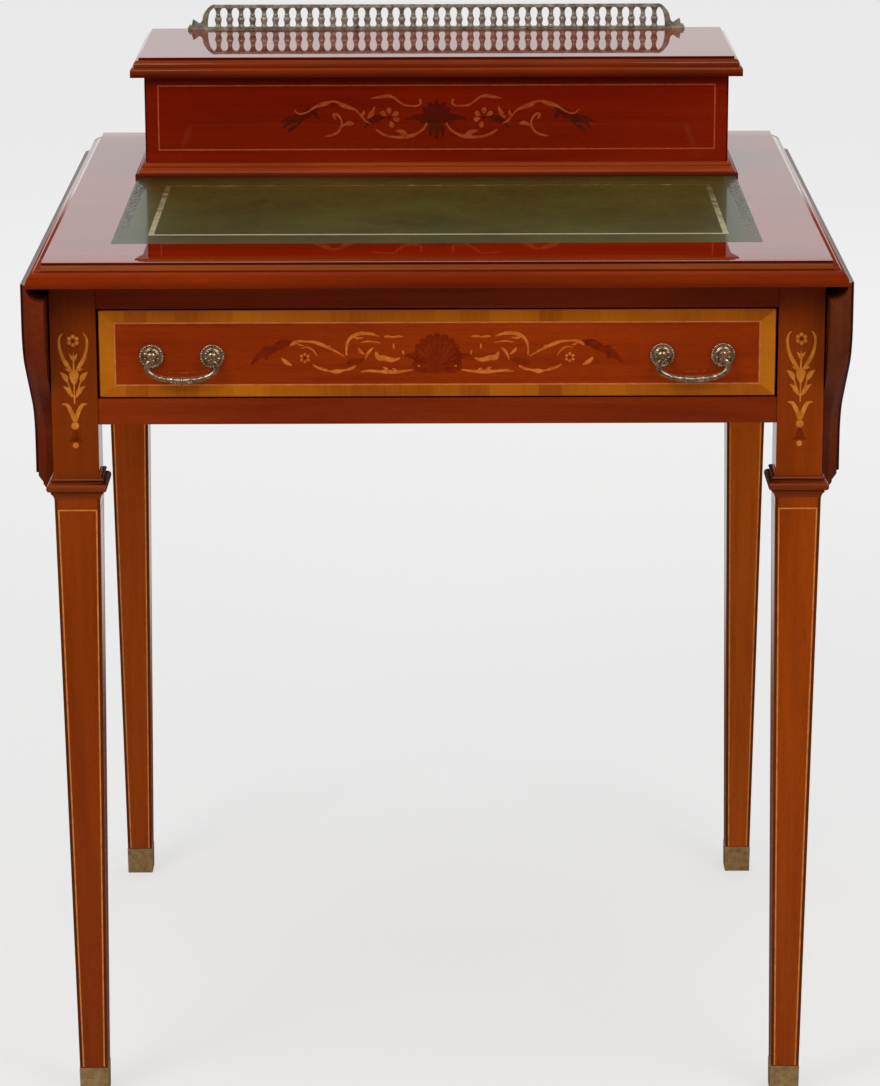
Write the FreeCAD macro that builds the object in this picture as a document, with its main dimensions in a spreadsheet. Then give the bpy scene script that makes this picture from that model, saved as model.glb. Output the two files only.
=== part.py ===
import FreeCAD, Part
import math
import os
import Sketcher

# Drop-leaf lady's writing desk with a galleried stationery box.
# Millimetres, +Z up, +Y to the back, origin on the floor under the middle of the top.

os.makedirs("parts", exist_ok=True)
doc = FreeCAD.newDocument("WritingDesk")
sheet = doc.addObject("Spreadsheet::Sheet", "sizes")


class Dim:
    """A number kept together with the sheet expression that gives it."""

    def __init__(self, value, text):
        self.value = float(value)
        self.text = text

    def __add__(self, other):
        other = dim(other)
        return Dim(self.value + other.value, f"({self.text} + {other.text})")

    def __sub__(self, other):
        other = dim(other)
        return Dim(self.value - other.value, f"({self.text} - {other.text})")

    def __mul__(self, other):
        other = dim(other)
        return Dim(self.value * other.value, f"({self.text} * {other.text})")

    def __truediv__(self, other):
        other = dim(other)
        return Dim(self.value / other.value, f"({self.text} / {other.text})")

    def __radd__(self, other):
        return dim(other) + self

    def __rsub__(self, other):
        return dim(other) - self

    def __rmul__(self, other):
        return dim(other) * self

    def __neg__(self):
        return dim(0) - self


def dim(number):
    if isinstance(number, Dim):
        return number
    return Dim(number, f"({float(number)})")


def cosine(angle):
    return Dim(math.cos(math.radians(angle.value)), f"cos({angle.text} * 1 deg)")


def sine(angle):
    return Dim(math.sin(math.radians(angle.value)), f"sin({angle.text} * 1 deg)")


cell_count = 0


def size(name, number):
    """Write one named size into the sheet."""
    global cell_count
    cell_count += 1
    sheet.set(f"A{cell_count}", name)
    sheet.set(f"B{cell_count}", str(number))
    sheet.setAlias(f"B{cell_count}", name)
    return Dim(number, f"sizes.{name}")


# Table top
top_height = size("top_height", 760)
top_width = size("top_width", 660)
top_depth = size("top_depth", 650)
top_thick = size("top_thick", 20)
edge_out = size("edge_out", 12)
edge_fillet = size("edge_fillet", 2.2)
edge_mid_out = size("edge_mid_out", 7)
edge_mid_drop = size("edge_mid_drop", 6.8)
edge_round = size("edge_round", 4.4)
edge_nose = size("edge_nose", 3.4)
rule_fillet = size("rule_fillet", 5)
rule_radius = size("rule_radius", 13)
rule_gap = size("rule_gap", 0.5)
leather_side = size("leather_side", 52)
leather_margin = size("leather_margin", 80)
leather_thick = size("leather_thick", 1.2)

# Drop leaves
leaf_reach = size("leaf_reach", 184)
leaf_straight = size("leaf_straight", 36)
leaf_curve = size("leaf_curve", 51)
leaf_turn = size("leaf_turn", 50)
leaf_slope = size("leaf_slope", 64)
leaf_gap = size("leaf_gap", 0.3)

# Leaf hinges
hinge_from_leg = size("hinge_from_leg", 76)
hinge_long = size("hinge_long", 30)
hinge_middle = size("hinge_middle", 10)
hinge_play = size("hinge_play", 0.2)
hinge_plate = size("hinge_plate", 1.8)
hinge_sink = size("hinge_sink", 0.1)
hinge_fixed_wide = size("hinge_fixed_wide", 34)
hinge_moving_wide = size("hinge_moving_wide", 52)
knuckle_radius = size("knuckle_radius", 2.6)
knuckle_room = size("knuckle_room", 0.7)
hinge_pin_radius = size("hinge_pin_radius", 1.2)
pin_play = size("pin_play", 0.05)

# Legs
leg_block = size("leg_block", 39)
leg_inset_side = size("leg_inset_side", 3.5)
leg_inset_front = size("leg_inset_front", 20)
leg_foot = size("leg_foot", 24)
collar_below = size("collar_below", 46)
collar_tall = size("collar_tall", 19)
collar_out = size("collar_out", 6.2)
cap_height = size("cap_height", 26)
cap_wall = size("cap_wall", 1.2)
cap_proud = size("cap_proud", 0.5)
cap_sole = size("cap_sole", 2)

# Frame
apron_tall = size("apron_tall", 124)
apron_thick = size("apron_thick", 19)
rail_depth = size("rail_depth", 36)
rail_recess = size("rail_recess", 1)
bottom_rail = size("bottom_rail", 22.5)
top_rail = size("top_rail", 24)
back_thick = size("back_thick", 18)
runner_wide = size("runner_wide", 26)
runner_tall = size("runner_tall", 14)
guide_tall = size("guide_tall", 16)
stop_from_side = size("stop_from_side", 122)
stop_tall = size("stop_tall", 4)
stop_wide = size("stop_wide", 24)
stop_deep = size("stop_deep", 12)

# Leaf brackets in the side aprons
bracket_thick = size("bracket_thick", 18)
bracket_long = size("bracket_long", 160)
bracket_tall = size("bracket_tall", 74)
bracket_gap = size("bracket_gap", 1)
bracket_pin = size("bracket_pin", 2.5)
bracket_toe = size("bracket_toe", 34)

# Drawer
drawer_gap = size("drawer_gap", 2)
drawer_gap_tall = size("drawer_gap_tall", 1.2)
drawer_front_thick = size("drawer_front_thick", 20)
drawer_side_thick = size("drawer_side_thick", 10)
drawer_side_gap = size("drawer_side_gap", 5)
drawer_side_drop = size("drawer_side_drop", 8)
drawer_back_room = size("drawer_back_room", 136)
drawer_floor = size("drawer_floor", 6)
drawer_floor_lift = size("drawer_floor_lift", 5.5)
slide_gap = size("slide_gap", 0.3)

# Handles
handle_from_end = size("handle_from_end", 70)
handle_spread = size("handle_spread", 51.4)
handle_below_middle = size("handle_below_middle", 2)
rosette_radius = size("rosette_radius", 10.2)
rosette_rim = size("rosette_rim", 1.5)
rosette_thick = size("rosette_thick", 2.4)
rosette_dish = size("rosette_dish", 7.4)
boss_radius = size("boss_radius", 4.6)
boss_tall = size("boss_tall", 2)
post_radius = size("post_radius", 2.2)
post_play = size("post_play", 0.1)
post_reach = size("post_reach", 9.5)
eye_radius = size("eye_radius", 3.9)
eye_long = size("eye_long", 5)
nut_radius = size("nut_radius", 5)
nut_thick = size("nut_thick", 3)
bail_wire = size("bail_wire", 1.6)
bail_pin = size("bail_pin", 3)
bail_bend = size("bail_bend", 3)
bail_bow = size("bail_bow", 13.8)
bail_knot = size("bail_knot", 6.5)
bail_knot_side = size("bail_knot_side", 5)

# Stationery box
box_side_margin = size("box_side_margin", 50)
box_depth = size("box_depth", 185)
box_tall = size("box_tall", 93.5)
box_back_margin = size("box_back_margin", 60)
box_front_thick = size("box_front_thick", 12)
box_side_thick = size("box_side_thick", 10)
box_floor = size("box_floor", 6)
base_out = size("base_out", 9.5)
base_tall = size("base_tall", 12.5)
divider_thick = size("divider_thick", 5)
divider_tall = size("divider_tall", 66)

# Lid of the box
lid_gap = size("lid_gap", 0.3)
lid_thick = size("lid_thick", 17.7)
lid_over_side = size("lid_over_side", 4.5)
lid_over_front = size("lid_over_front", 4.5)
lid_edge = size("lid_edge", 7.7)
lid_edge_mid = size("lid_edge_mid", 4.6)
lid_low = size("lid_low", 8.6)
lid_mid = size("lid_mid", 6.6)
lid_round_low = size("lid_round_low", 2.6)
lid_round_mid = size("lid_round_mid", 4)
lid_hinge_from_end = size("lid_hinge_from_end", 90)
lid_hinge_long = size("lid_hinge_long", 42)
lid_plate = size("lid_plate", 1.6)
lid_plate_tall = size("lid_plate_tall", 14)
lid_knuckle = size("lid_knuckle", 2.6)
lid_knuckle_back = size("lid_knuckle_back", 2.8)

# Gallery
gallery_inset = size("gallery_inset", 35)
gallery_end = size("gallery_end", 21.5)
gallery_back = size("gallery_back", 5)
gallery_base_wide = size("gallery_base_wide", 5)
gallery_base_tall = size("gallery_base_tall", 1.8)
gallery_rail_wide = size("gallery_rail_wide", 3.4)
gallery_rail_tall = size("gallery_rail_tall", 2.6)
gallery_tall = size("gallery_tall", 24)
gallery_plate = size("gallery_plate", 2.2)
baluster_count = size("baluster_count", 39)
baluster_margin = size("baluster_margin", 7.8)
baluster_thick = size("baluster_thick", 2.8)
baluster_foot = size("baluster_foot", 2.7)
baluster_neck = size("baluster_neck", 1.5)
baluster_bulb = size("baluster_bulb", 2.7)

doc.recompute()

# Derived positions
underside = top_height - top_thick
apron_base = underside - apron_tall
collar_top = apron_base - collar_below
collar_base = collar_top - collar_tall
front_arris = -top_depth / 2
axis_x = top_width / 2
axis_z = top_height - rule_fillet - rule_radius
leg_outer = top_width / 2 - leg_inset_side
leg_inner = leg_outer - leg_block
leg_front = front_arris + leg_inset_front
leg_behind = leg_front + leg_block
leg_x = leg_outer - leg_block / 2
leg_y = top_depth / 2 - leg_inset_front - leg_block / 2
rail_front = leg_front + rail_recess
rail_back = rail_front + rail_depth
bottom_rail_top = apron_base + bottom_rail
top_rail_base = underside - top_rail
apron_in = leg_inner
apron_out = apron_in + apron_thick
back_out = -leg_front - rail_recess
back_in = back_out - back_thick
drawer_half = leg_inner - drawer_gap
drawer_low = bottom_rail_top + drawer_gap_tall
drawer_high = top_rail_base - drawer_gap_tall
drawer_inside = rail_front + drawer_front_thick
drawer_end = back_in - drawer_back_room
side_out = leg_inner - drawer_side_gap
side_in = side_out - drawer_side_thick
handle_x = drawer_half - handle_from_end
handle_height = (drawer_low + drawer_high) / 2 - handle_below_middle
leather_half = top_width / 2 - leather_side
hinge_y = -leg_behind - hinge_from_leg
box_half = top_width / 2 - box_side_margin - base_out
box_back_y = top_depth / 2 - box_back_margin
box_front_y = box_back_y - box_depth
box_top_z = top_height + box_tall
lid_base = box_top_z + lid_gap
lid_top = lid_base + lid_thick
gallery_y = box_back_y - gallery_back - gallery_base_wide / 2
lid_half = box_half + lid_over_side
lid_hinge_x = box_half - lid_hinge_from_end
gallery_half = lid_half - gallery_inset
rail_half = gallery_half - gallery_end
baluster_pitch = 2 * (rail_half - baluster_margin) / (baluster_count - 1)

LEFT = -1
RIGHT = 1
made = {}


def drive(thing, name, length):
    thing.setExpression(name, dim(length).text)


def put(thing, x, y, z):
    drive(thing, "Placement.Base.x", x)
    drive(thing, "Placement.Base.y", y)
    drive(thing, "Placement.Base.z", z)
    return thing


def keep(name, thing):
    """Mark a finished sub-part; its label is its file name."""
    thing.Label = name
    made[name] = thing
    return thing


def block(name, x0, x1, y0, y1, z0, z1):
    """Box between two corners; x0 and x1 may come in either order."""
    x0, x1 = dim(x0), dim(x1)
    if x1.value < x0.value:
        x0, x1 = x1, x0
    thing = doc.addObject("Part::Box", name)
    drive(thing, "Length", x1 - x0)
    drive(thing, "Width", dim(y1) - y0)
    drive(thing, "Height", dim(z1) - z0)
    return put(thing, x0, y0, z0)


WEDGE_TURNS = {
    "Z": FreeCAD.Rotation(FreeCAD.Vector(1, 0, 0), 90),
    "X": FreeCAD.Rotation(FreeCAD.Vector(0, 0, 1), -90),
}


def shape_wedge(thing, length, start, end):
    """Give a wedge a square section that runs evenly from one side length to another."""
    drive(thing, "Ymin", 0)
    drive(thing, "Ymax", length)
    for prefix, side in (("", dim(start)), ("2", dim(end))):
        for axis in "XZ":
            drive(thing, f"{axis}{prefix}min", -side / 2)
            drive(thing, f"{axis}{prefix}max", side / 2)


def frustum(name, x, y, z0, z1, low, high):
    """Square tapered prism standing on z0, sides low at the foot and high at the top."""
    thing = doc.addObject("Part::Wedge", name)
    shape_wedge(thing, dim(z1) - z0, low, high)
    thing.Placement = FreeCAD.Placement(FreeCAD.Vector(0, 0, 0), WEDGE_TURNS["Z"])
    return put(thing, x, y, z0)


TURNS = {
    "Z": FreeCAD.Rotation(),
    "X": FreeCAD.Rotation(FreeCAD.Vector(0, 1, 0), 90),
    "Y": FreeCAD.Rotation(FreeCAD.Vector(1, 0, 0), -90),
}


def rod(name, axis, radius, length, x, y, z):
    """Cylinder that starts at the point and runs along the named axis."""
    thing = doc.addObject("Part::Cylinder", name)
    drive(thing, "Radius", radius)
    drive(thing, "Height", length)
    thing.Placement = FreeCAD.Placement(FreeCAD.Vector(0, 0, 0), TURNS[axis])
    return put(thing, x, y, z)


def prism(name, axis, sides, radius, length, x, y, z):
    """Regular prism with its corners on the radius, along the named axis."""
    thing = doc.addObject("Part::Prism", name)
    thing.Polygon = sides
    drive(thing, "Circumradius", radius)
    drive(thing, "Height", length)
    thing.Placement = FreeCAD.Placement(FreeCAD.Vector(0, 0, 0), TURNS[axis])
    return put(thing, x, y, z)


def around(radius, sides):
    """Corner radius of the regular polygon whose flats touch a circle."""
    return dim(radius) / math.cos(math.pi / sides)


def fuse(name, things):
    thing = doc.addObject("Part::MultiFuse", name)
    thing.Shapes = things
    thing.Refine = True
    return thing


def cut(name, base, tool):
    thing = doc.addObject("Part::Cut", name)
    thing.Base = base
    thing.Tool = tool
    return thing


def group(name, things):
    thing = doc.addObject("Part::Compound", name)
    thing.Links = things
    return thing


def body(name):
    return doc.addObject("PartDesign::Body", name)


def datum(owner, role):
    """One of the body's own planes or axes."""
    return [f for f in owner.Origin.OriginFeatures if f.Role == role][0]


def sketch(owner, name, role, lift=0, up=0):
    """Sketch on one of the body's own planes, lifted along the plane's normal."""
    thing = owner.newObject("Sketcher::SketchObject", name)
    thing.AttachmentSupport = [(datum(owner, role), "")]
    thing.MapMode = "FlatFace"
    drive(thing, "AttachmentOffset.Base.z", lift)
    drive(thing, "AttachmentOffset.Base.y", up)
    return thing


def arc_between(start, end, radius, turn):
    """Minor arc; turn is +1 for counter-clockwise from start to end."""
    chord = end - start
    half = chord.Length / 2
    normal = FreeCAD.Vector(-chord.y, chord.x, 0) / chord.Length
    centre = (start + end) / 2 + normal * (turn * math.sqrt(max(radius ** 2 - half ** 2, 0)))
    first, last = (start, end) if turn > 0 else (end, start)
    begin = math.atan2(first.y - centre.y, first.x - centre.x)
    finish = math.atan2(last.y - centre.y, last.x - centre.x)
    circle = Part.Circle(centre, FreeCAD.Vector(0, 0, 1), radius)
    return Part.ArcOfCircle(circle, begin, finish)


def pin_point(thing, geo, end, x, y):
    for kind, length in (("DistanceX", x), ("DistanceY", y)):
        index = thing.addConstraint(
            Sketcher.Constraint(kind, -1, 1, geo, end, dim(length).value))
        drive(thing, f"Constraints[{index}]", length)


def trace(thing, points):
    """Closed outline through the points, every point held by sheet sizes.

    (x, y) is reached by a straight line, (x, y, radius, turn) by an arc.
    """
    spots = [FreeCAD.Vector(dim(p[0]).value, dim(p[1]).value, 0) for p in points]
    first = thing.GeometryCount
    ends = []
    for i, point in enumerate(points):
        start, end = spots[i - 1], spots[i]
        if len(point) == 2:
            thing.addGeometry(Part.LineSegment(start, end))
            ends.append((1, 2))
        else:
            thing.addGeometry(arc_between(start, end, dim(point[2]).value, point[3]))
            ends.append((1, 2) if point[3] > 0 else (2, 1))
    count = len(points)
    for i in range(count):
        after = (i + 1) % count
        thing.addConstraint(Sketcher.Constraint(
            "Coincident", first + i, ends[i][1], first + after, ends[after][0]))
    for i, point in enumerate(points):
        pin_point(thing, first + i, ends[i][1], point[0], point[1])
        if len(point) > 2:
            radius = dim(point[2])
            index = thing.addConstraint(Sketcher.Constraint("Radius", first + i, radius.value))
            drive(thing, f"Constraints[{index}]", radius)
    return thing


def ring(thing, x, y, radius):
    """Full circle in a sketch."""
    centre = FreeCAD.Vector(dim(x).value, dim(y).value, 0)
    geo = thing.addGeometry(Part.Circle(centre, FreeCAD.Vector(0, 0, 1), dim(radius).value))
    pin_point(thing, geo, 3, x, y)
    index = thing.addConstraint(Sketcher.Constraint("Radius", geo, dim(radius).value))
    drive(thing, f"Constraints[{index}]", radius)
    return thing


def polygon(thing, x, y, radius, sides):
    """Regular polygon with its corners on the radius."""
    turns = [2 * math.pi * i / sides for i in range(sides)]
    return trace(thing, [(x + radius * math.cos(t), y + radius * math.sin(t)) for t in turns])


def taper(owner, name, axis, length, start, end, x, y, z):
    """Square taper added to a body, from the point along the named axis; start and end are sides."""
    thing = owner.newObject("PartDesign::AdditiveWedge", name)
    shape_wedge(thing, length, start, end)
    thing.Placement = FreeCAD.Placement(FreeCAD.Vector(0, 0, 0), WEDGE_TURNS[axis])
    owner.Tip = thing
    return put(thing, x, y, z)


def oblong(thing, x0, x1, y0, y1):
    return trace(thing, [(x0, y0), (x1, y0), (x1, y1), (x0, y1)])


def pad(owner, name, profile, length, both=False, backward=False):
    thing = owner.newObject("PartDesign::Pad", name)
    thing.Profile = profile
    if both:
        thing.SideType = "Symmetric"
    thing.Reversed = backward
    drive(thing, "Length", length)
    owner.Tip = thing
    return thing


def pocket(owner, name, profile, length=None, backward=False):
    """Cut to a depth against the sketch normal, or right through both ways."""
    thing = owner.newObject("PartDesign::Pocket", name)
    thing.Profile = profile
    if length is None:
        thing.SideType = "Symmetric"
        thing.Type = "ThroughAll"
    else:
        drive(thing, "Length", length)
        thing.Reversed = backward
    owner.Tip = thing
    return thing


def ease_edges(owner, name, feature, kind, amount, chosen):
    """Fillet or chamfer the edges of a feature that pass the test."""
    doc.recompute()
    names = [f"Edge{i + 1}" for i, edge in enumerate(feature.Shape.Edges) if chosen(edge)]
    thing = owner.newObject(f"PartDesign::{kind}", name)
    thing.Base = (feature, names)
    drive(thing, "Radius" if kind == "Fillet" else "Size", amount)
    owner.Tip = thing
    return thing


def level(edge, axis, place):
    """True when the whole edge lies at one coordinate."""
    return all(abs(getattr(v.Point, axis) - place) < 1e-4 for v in edge.Vertexes)


# Collar mouldings from the foot up: start and end as shares of the collar's height, then how far
# out the lower and upper edges stand as shares of its projection.
COLLAR_STEPS = (
    (0, 0.34, 0.12, 0.78),
    (0.34, 0.58, 1, 1),
    (0.58, 0.7, 0.72, 0.72),
    (0.7, 1, 0.56, 0.18),
)
CUT_OVER = 1


# Legs: square block, four-sided taper, reduced end inside the brass cap.
def leg_side(height):
    return leg_foot + (leg_block - leg_foot) * height / collar_base


def make_leg(where, sx, sy):
    x, y = sx * leg_x, sy * leg_y
    half = leg_block / 2
    head = block(f"leg_head_{where}", x - half, x + half, y - half, y + half, collar_base, underside)
    shaft = frustum(f"leg_shaft_{where}", x, y, cap_height, collar_base,
                    leg_side(cap_height), leg_block)
    shrink = 2 * (cap_proud - cap_wall)
    stub = frustum(f"leg_stub_{where}", x, y, cap_sole, cap_height,
                   leg_side(cap_sole) + shrink, leg_side(cap_height) + shrink)
    keep(f"leg_{where}", fuse(f"leg_{where}_solid", [head, shaft, stub]))
    outer = frustum(f"cap_outer_{where}", x, y, 0, cap_height,
                    leg_side(dim(0)) + 2 * cap_proud, leg_side(cap_height) + 2 * cap_proud)
    inner = frustum(f"cap_inner_{where}", x, y, cap_sole, cap_height,
                    leg_side(cap_sole) + shrink, leg_side(cap_height) + shrink)
    cap = cut(f"cap_{where}_solid", outer, inner)
    steps = []
    for i, (z0, z1, low, high) in enumerate(COLLAR_STEPS):
        steps.append(frustum(
            f"collar_step_{where}_{i}", x, y,
            collar_base + collar_tall * z0, collar_base + collar_tall * z1,
            leg_block + 2 * collar_out * low, leg_block + 2 * collar_out * high))
    bore = block(f"collar_bore_{where}", x - half, x + half, y - half, y + half,
                 collar_base - CUT_OVER, collar_top + CUT_OVER)
    solid = fuse(f"collar_stack_{where}", steps)
    keep(f"collar_{where}", cut(f"collar_{where}_solid", solid, bore))
    return cap


caps = []
for side_name, sx in (("left", LEFT), ("right", RIGHT)):
    for end_name, sy in (("front", -1), ("back", 1)):
        caps.append(make_leg(f"{end_name}_{side_name}", sx, sy))
keep("foot_caps", group("foot_cap_group", caps))

# Rails and aprons of the table frame.
keep("front_top_rail", block(
    "top_rail_box", -leg_inner, leg_inner, rail_front, rail_back, top_rail_base, underside))
keep("front_bottom_rail", block(
    "bottom_rail_box", -leg_inner, leg_inner, rail_front, rail_back, apron_base, bottom_rail_top))
keep("back_apron", block(
    "back_apron_box", -leg_inner, leg_inner, back_in, back_out, apron_base, underside))

# Side aprons, with the hinged bracket that holds a raised leaf in the outer layer.
knuckle = bracket_thick / 2
bracket_base = underside - bracket_tall
third = bracket_tall / 3
pivot_y = -bracket_long / 2
KNUCKLE_SIDES = 16
PIN_SIDES = 8
TOE_ROUND = 1.25


def make_side(side, s):
    keep(f"side_apron_{side}", block(
        f"side_apron_box_{side}", s * apron_in, s * apron_out,
        leg_behind, -leg_behind, apron_base, underside))
    near, far = s * apron_out, s * (apron_out + bracket_thick)
    pivot_x = s * (apron_out + knuckle)
    swing = around(knuckle + bracket_gap, KNUCKLE_SIDES)
    front = block(f"bracket_front_{side}", near, far, leg_behind, pivot_y, apron_base, underside)
    rear = block(f"bracket_rear_{side}", near, far, -pivot_y + bracket_gap, -leg_behind,
                 apron_base, underside)
    ends = []
    hollows = []
    for i, z0 in enumerate((bracket_base, bracket_base + 2 * third)):
        ends.append(prism(f"bracket_fixed_knuckle_{side}_{i}", "Z", KNUCKLE_SIDES, knuckle, third,
                          pivot_x, pivot_y, z0))
        hollows.append(prism(f"bracket_fixed_room_{side}_{i}", "Z", KNUCKLE_SIDES, swing,
                             third + bracket_gap, pivot_x, pivot_y, z0 - bracket_gap * (1 - i)))
    gap_mid = prism(f"bracket_mid_room_{side}", "Z", KNUCKLE_SIDES, swing, third,
                    pivot_x, pivot_y, bracket_base + third)
    fixed = fuse(f"bracket_fixed_{side}", [cut(f"bracket_cleared_{side}", front, gap_mid)] + ends)
    hole = prism(f"bracket_hole_{side}", "Z", PIN_SIDES, bracket_pin, bracket_tall,
                 pivot_x, pivot_y, bracket_base)
    fixed = cut(f"bracket_bored_{side}", fixed, hole)
    keep(f"bracket_rails_{side}", group(f"bracket_rail_group_{side}", [fixed, rear]))

    # Bracket: ogee-toed flap with the middle knuckle.
    flap = body(f"bracket_flap_{side}")
    shape = sketch(flap, f"bracket_outline_{side}", "YZ_Plane", near if s > 0 else far)
    low, high = bracket_base + bracket_gap, underside - bracket_gap
    end = -pivot_y
    trace(shape, [
        (pivot_y, low), (end - 2 * bracket_toe, low),
        (end - bracket_toe, low + bracket_toe / 2, bracket_toe * TOE_ROUND, 1),
        (end, low + bracket_toe, bracket_toe * TOE_ROUND, -1),
        (end, high), (pivot_y, high)])
    pad(flap, f"bracket_pad_{side}", shape, bracket_thick)
    neck_low = bracket_base + third + bracket_gap
    neck_high = bracket_base + 2 * third - bracket_gap
    middle = prism(f"bracket_knuckle_{side}", "Z", KNUCKLE_SIDES, knuckle, neck_high - neck_low,
                   pivot_x, pivot_y, neck_low)
    end_room = prism(f"bracket_end_room_{side}", "Z", KNUCKLE_SIDES, swing, third,
                     pivot_x, pivot_y, bracket_base + third)
    rooms = fuse(f"bracket_rooms_{side}", hollows + [end_room])
    trimmed = cut(f"bracket_trimmed_{side}", flap, rooms)
    web = block(f"bracket_web_{side}", near, far, pivot_y, pivot_y + 2 * swing, neck_low, neck_high)
    joined = fuse(f"bracket_joined_{side}", [trimmed, fuse(f"bracket_neck_{side}", [middle, web])])
    bore = prism(f"bracket_bore_{side}", "Z", PIN_SIDES, around(bracket_pin + pin_play, PIN_SIDES),
                 bracket_tall, pivot_x, pivot_y, bracket_base)
    keep(f"leaf_bracket_{side}", cut(f"bracket_drilled_{side}", joined, bore))
    keep(f"bracket_pin_{side}", prism(f"bracket_pin_rod_{side}", "Z", PIN_SIDES, bracket_pin,
                                      bracket_tall, pivot_x, pivot_y, bracket_base))


for side_name, s in (("left", LEFT), ("right", RIGHT)):
    make_side(side_name, s)


# Drawer runners with guides, kickers above and stops behind the drawer front.
kickers = []
for side_name, s in (("left", LEFT), ("right", RIGHT)):
    runner = body(f"runner_{side_name}")
    shape = sketch(runner, f"runner_outline_{side_name}", "XZ_Plane", -rail_back)
    inner, outer = s * (apron_in - runner_wide), s * apron_in
    guide = s * (side_out + drawer_gap)
    low, high = bottom_rail_top - runner_tall, bottom_rail_top
    trace(shape, [(inner, low), (outer, low), (outer, high + guide_tall),
                  (guide, high + guide_tall), (guide, high), (inner, high)])
    pad(runner, f"runner_pad_{side_name}", shape, back_in - rail_back, backward=True)
    keep(f"drawer_runner_{side_name}", runner)
    kickers.append(block(f"kicker_{side_name}", inner, outer, rail_back, back_in,
                         top_rail_base, top_rail_base + runner_tall))
keep("drawer_kickers", group("kicker_group", kickers))
stops = []
for i, s in enumerate((LEFT, RIGHT)):
    x = s * (side_in - stop_from_side)
    stops.append(block(f"stop_{i}", x - stop_wide / 2, x + stop_wide / 2,
                       drawer_inside + slide_gap, drawer_inside + slide_gap + stop_deep,
                       bottom_rail_top, bottom_rail_top + stop_tall))
keep("drawer_stops", group("stop_group", stops))


# Fixed top: rule-joint profile along the sides, stepped moulding along front and back.
top = body("top_body")
shape = sketch(top, "top_rule_profile", "XZ_Plane")
reach = axis_x + rule_radius
trace(shape, [
    (-reach, underside), (reach, underside), (reach, axis_z),
    (axis_x, axis_z + rule_radius, rule_radius, 1),
    (axis_x, top_height), (-axis_x, top_height), (-axis_x, axis_z + rule_radius),
    (-reach, axis_z, rule_radius, 1)])
pad(top, "top_pad", shape, top_depth + 2 * edge_out, both=True)
mid_start = edge_mid_out - edge_round
nose_start = edge_out - edge_nose
for name, s in (("front", -1), ("back", 1)):
    shape = sketch(top, f"top_edge_{name}", "YZ_Plane")
    half = top_depth / 2
    above = top_height + CUT_OVER
    outside = half + edge_out + CUT_OVER
    drop_mid = top_height - edge_mid_drop
    drop_nose = drop_mid - edge_nose
    trace(shape, [
        (s * outside, above), (s * half, above), (s * half, top_height - edge_fillet),
        (s * (half + mid_start), top_height - edge_fillet),
        (s * (half + edge_mid_out), top_height - edge_fillet - edge_round, edge_round, -s),
        (s * (half + edge_mid_out), drop_mid), (s * (half + nose_start), drop_mid),
        (s * (half + edge_out), drop_nose, edge_nose, -s),
        (s * outside, drop_nose)])
    pocket(top, f"top_edge_cut_{name}", shape)
leather_front = front_arris + leather_margin
leather_back = box_front_y
shape = sketch(top, "top_leather_outline", "XY_Plane", top_height)
oblong(shape, -leather_half, leather_half, leather_front, leather_back)
pocket(top, "top_leather_recess", shape, leather_thick)
hinge_half = hinge_long / 2
hinge_spots = (("front", -hinge_y), ("back", hinge_y))
plate_low = underside + hinge_sink
plate_high = plate_low + hinge_plate
for side_name, s in (("left", LEFT), ("right", RIGHT)):
    for end_name, y in hinge_spots:
        shape = sketch(top, f"top_hinge_bed_{end_name}_{side_name}", "XZ_Plane",
                       -(y - hinge_half - hinge_play))
        inner = s * (axis_x - knuckle_radius - knuckle_room - hinge_fixed_wide - hinge_play)
        slot_in = s * (axis_x - knuckle_radius - knuckle_room)
        slot_out = s * (axis_x + knuckle_radius + knuckle_room)
        outer = s * (reach + CUT_OVER)
        bed = plate_high + hinge_sink
        slot = axis_z + knuckle_radius + knuckle_room
        below = underside - CUT_OVER
        trace(shape, [(inner, below), (outer, below), (outer, bed), (slot_out, bed),
                      (slot_out, slot), (slot_in, slot), (slot_in, bed), (inner, bed)])
        pocket(top, f"top_hinge_recess_{end_name}_{side_name}", shape, hinge_long + 2 * hinge_play)
keep("table_top", top)
keep("writing_leather", block(
    "leather_box", -leather_half, leather_half, leather_front, leather_back,
    top_height - leather_thick, top_height))


# Drop leaves, hanging. Three stepped layers make the moulded edge, the cove rides the rule joint.
def leaf_outline(spread):
    """Half-open S-cornered outline in (y, z), grown by spread at every free edge."""
    c, d = cosine(leaf_turn), sine(leaf_turn)
    big = leaf_curve + spread
    small = leaf_curve - spread
    start_y = front_arris - spread
    bend_y = front_arris + leaf_curve
    bend_u = leaf_straight
    first_y = bend_y - big * c
    first_u = bend_u + big * d
    base_y = bend_y - leaf_curve * c + leaf_slope * d
    base_u = bend_u + leaf_curve * d + leaf_slope * c
    hub_y = base_y - leaf_curve * c
    hub_u = base_u + leaf_curve * d
    second_y = hub_y + small * c
    second_u = hub_u - small * d
    last_y = hub_y + small
    last_u = hub_u
    foot_u = leaf_reach + spread
    upper = axis_z - leaf_gap
    front = [(start_y, upper, None), (start_y, axis_z - bend_u, None),
             (first_y, axis_z - first_u, (big, 1)), (second_y, axis_z - second_u, None),
             (last_y, axis_z - last_u, (small, -1)), (last_y, axis_z - foot_u, None)]
    points = [p[:2] if p[2] is None else (p[0], p[1]) + p[2] for p in front]
    rear = []
    bends = [p[2] for p in front]
    for i in range(len(front) - 1, -1, -1):
        y, z, _ = front[i]
        after = bends[i + 1] if i + 1 < len(front) else None
        rear.append((-y, z) if after is None else (-y, z) + after)
    return points + rear


leaf_outer = axis_x + rule_fillet + rule_radius
leaf_inner = leaf_outer - top_thick


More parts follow.
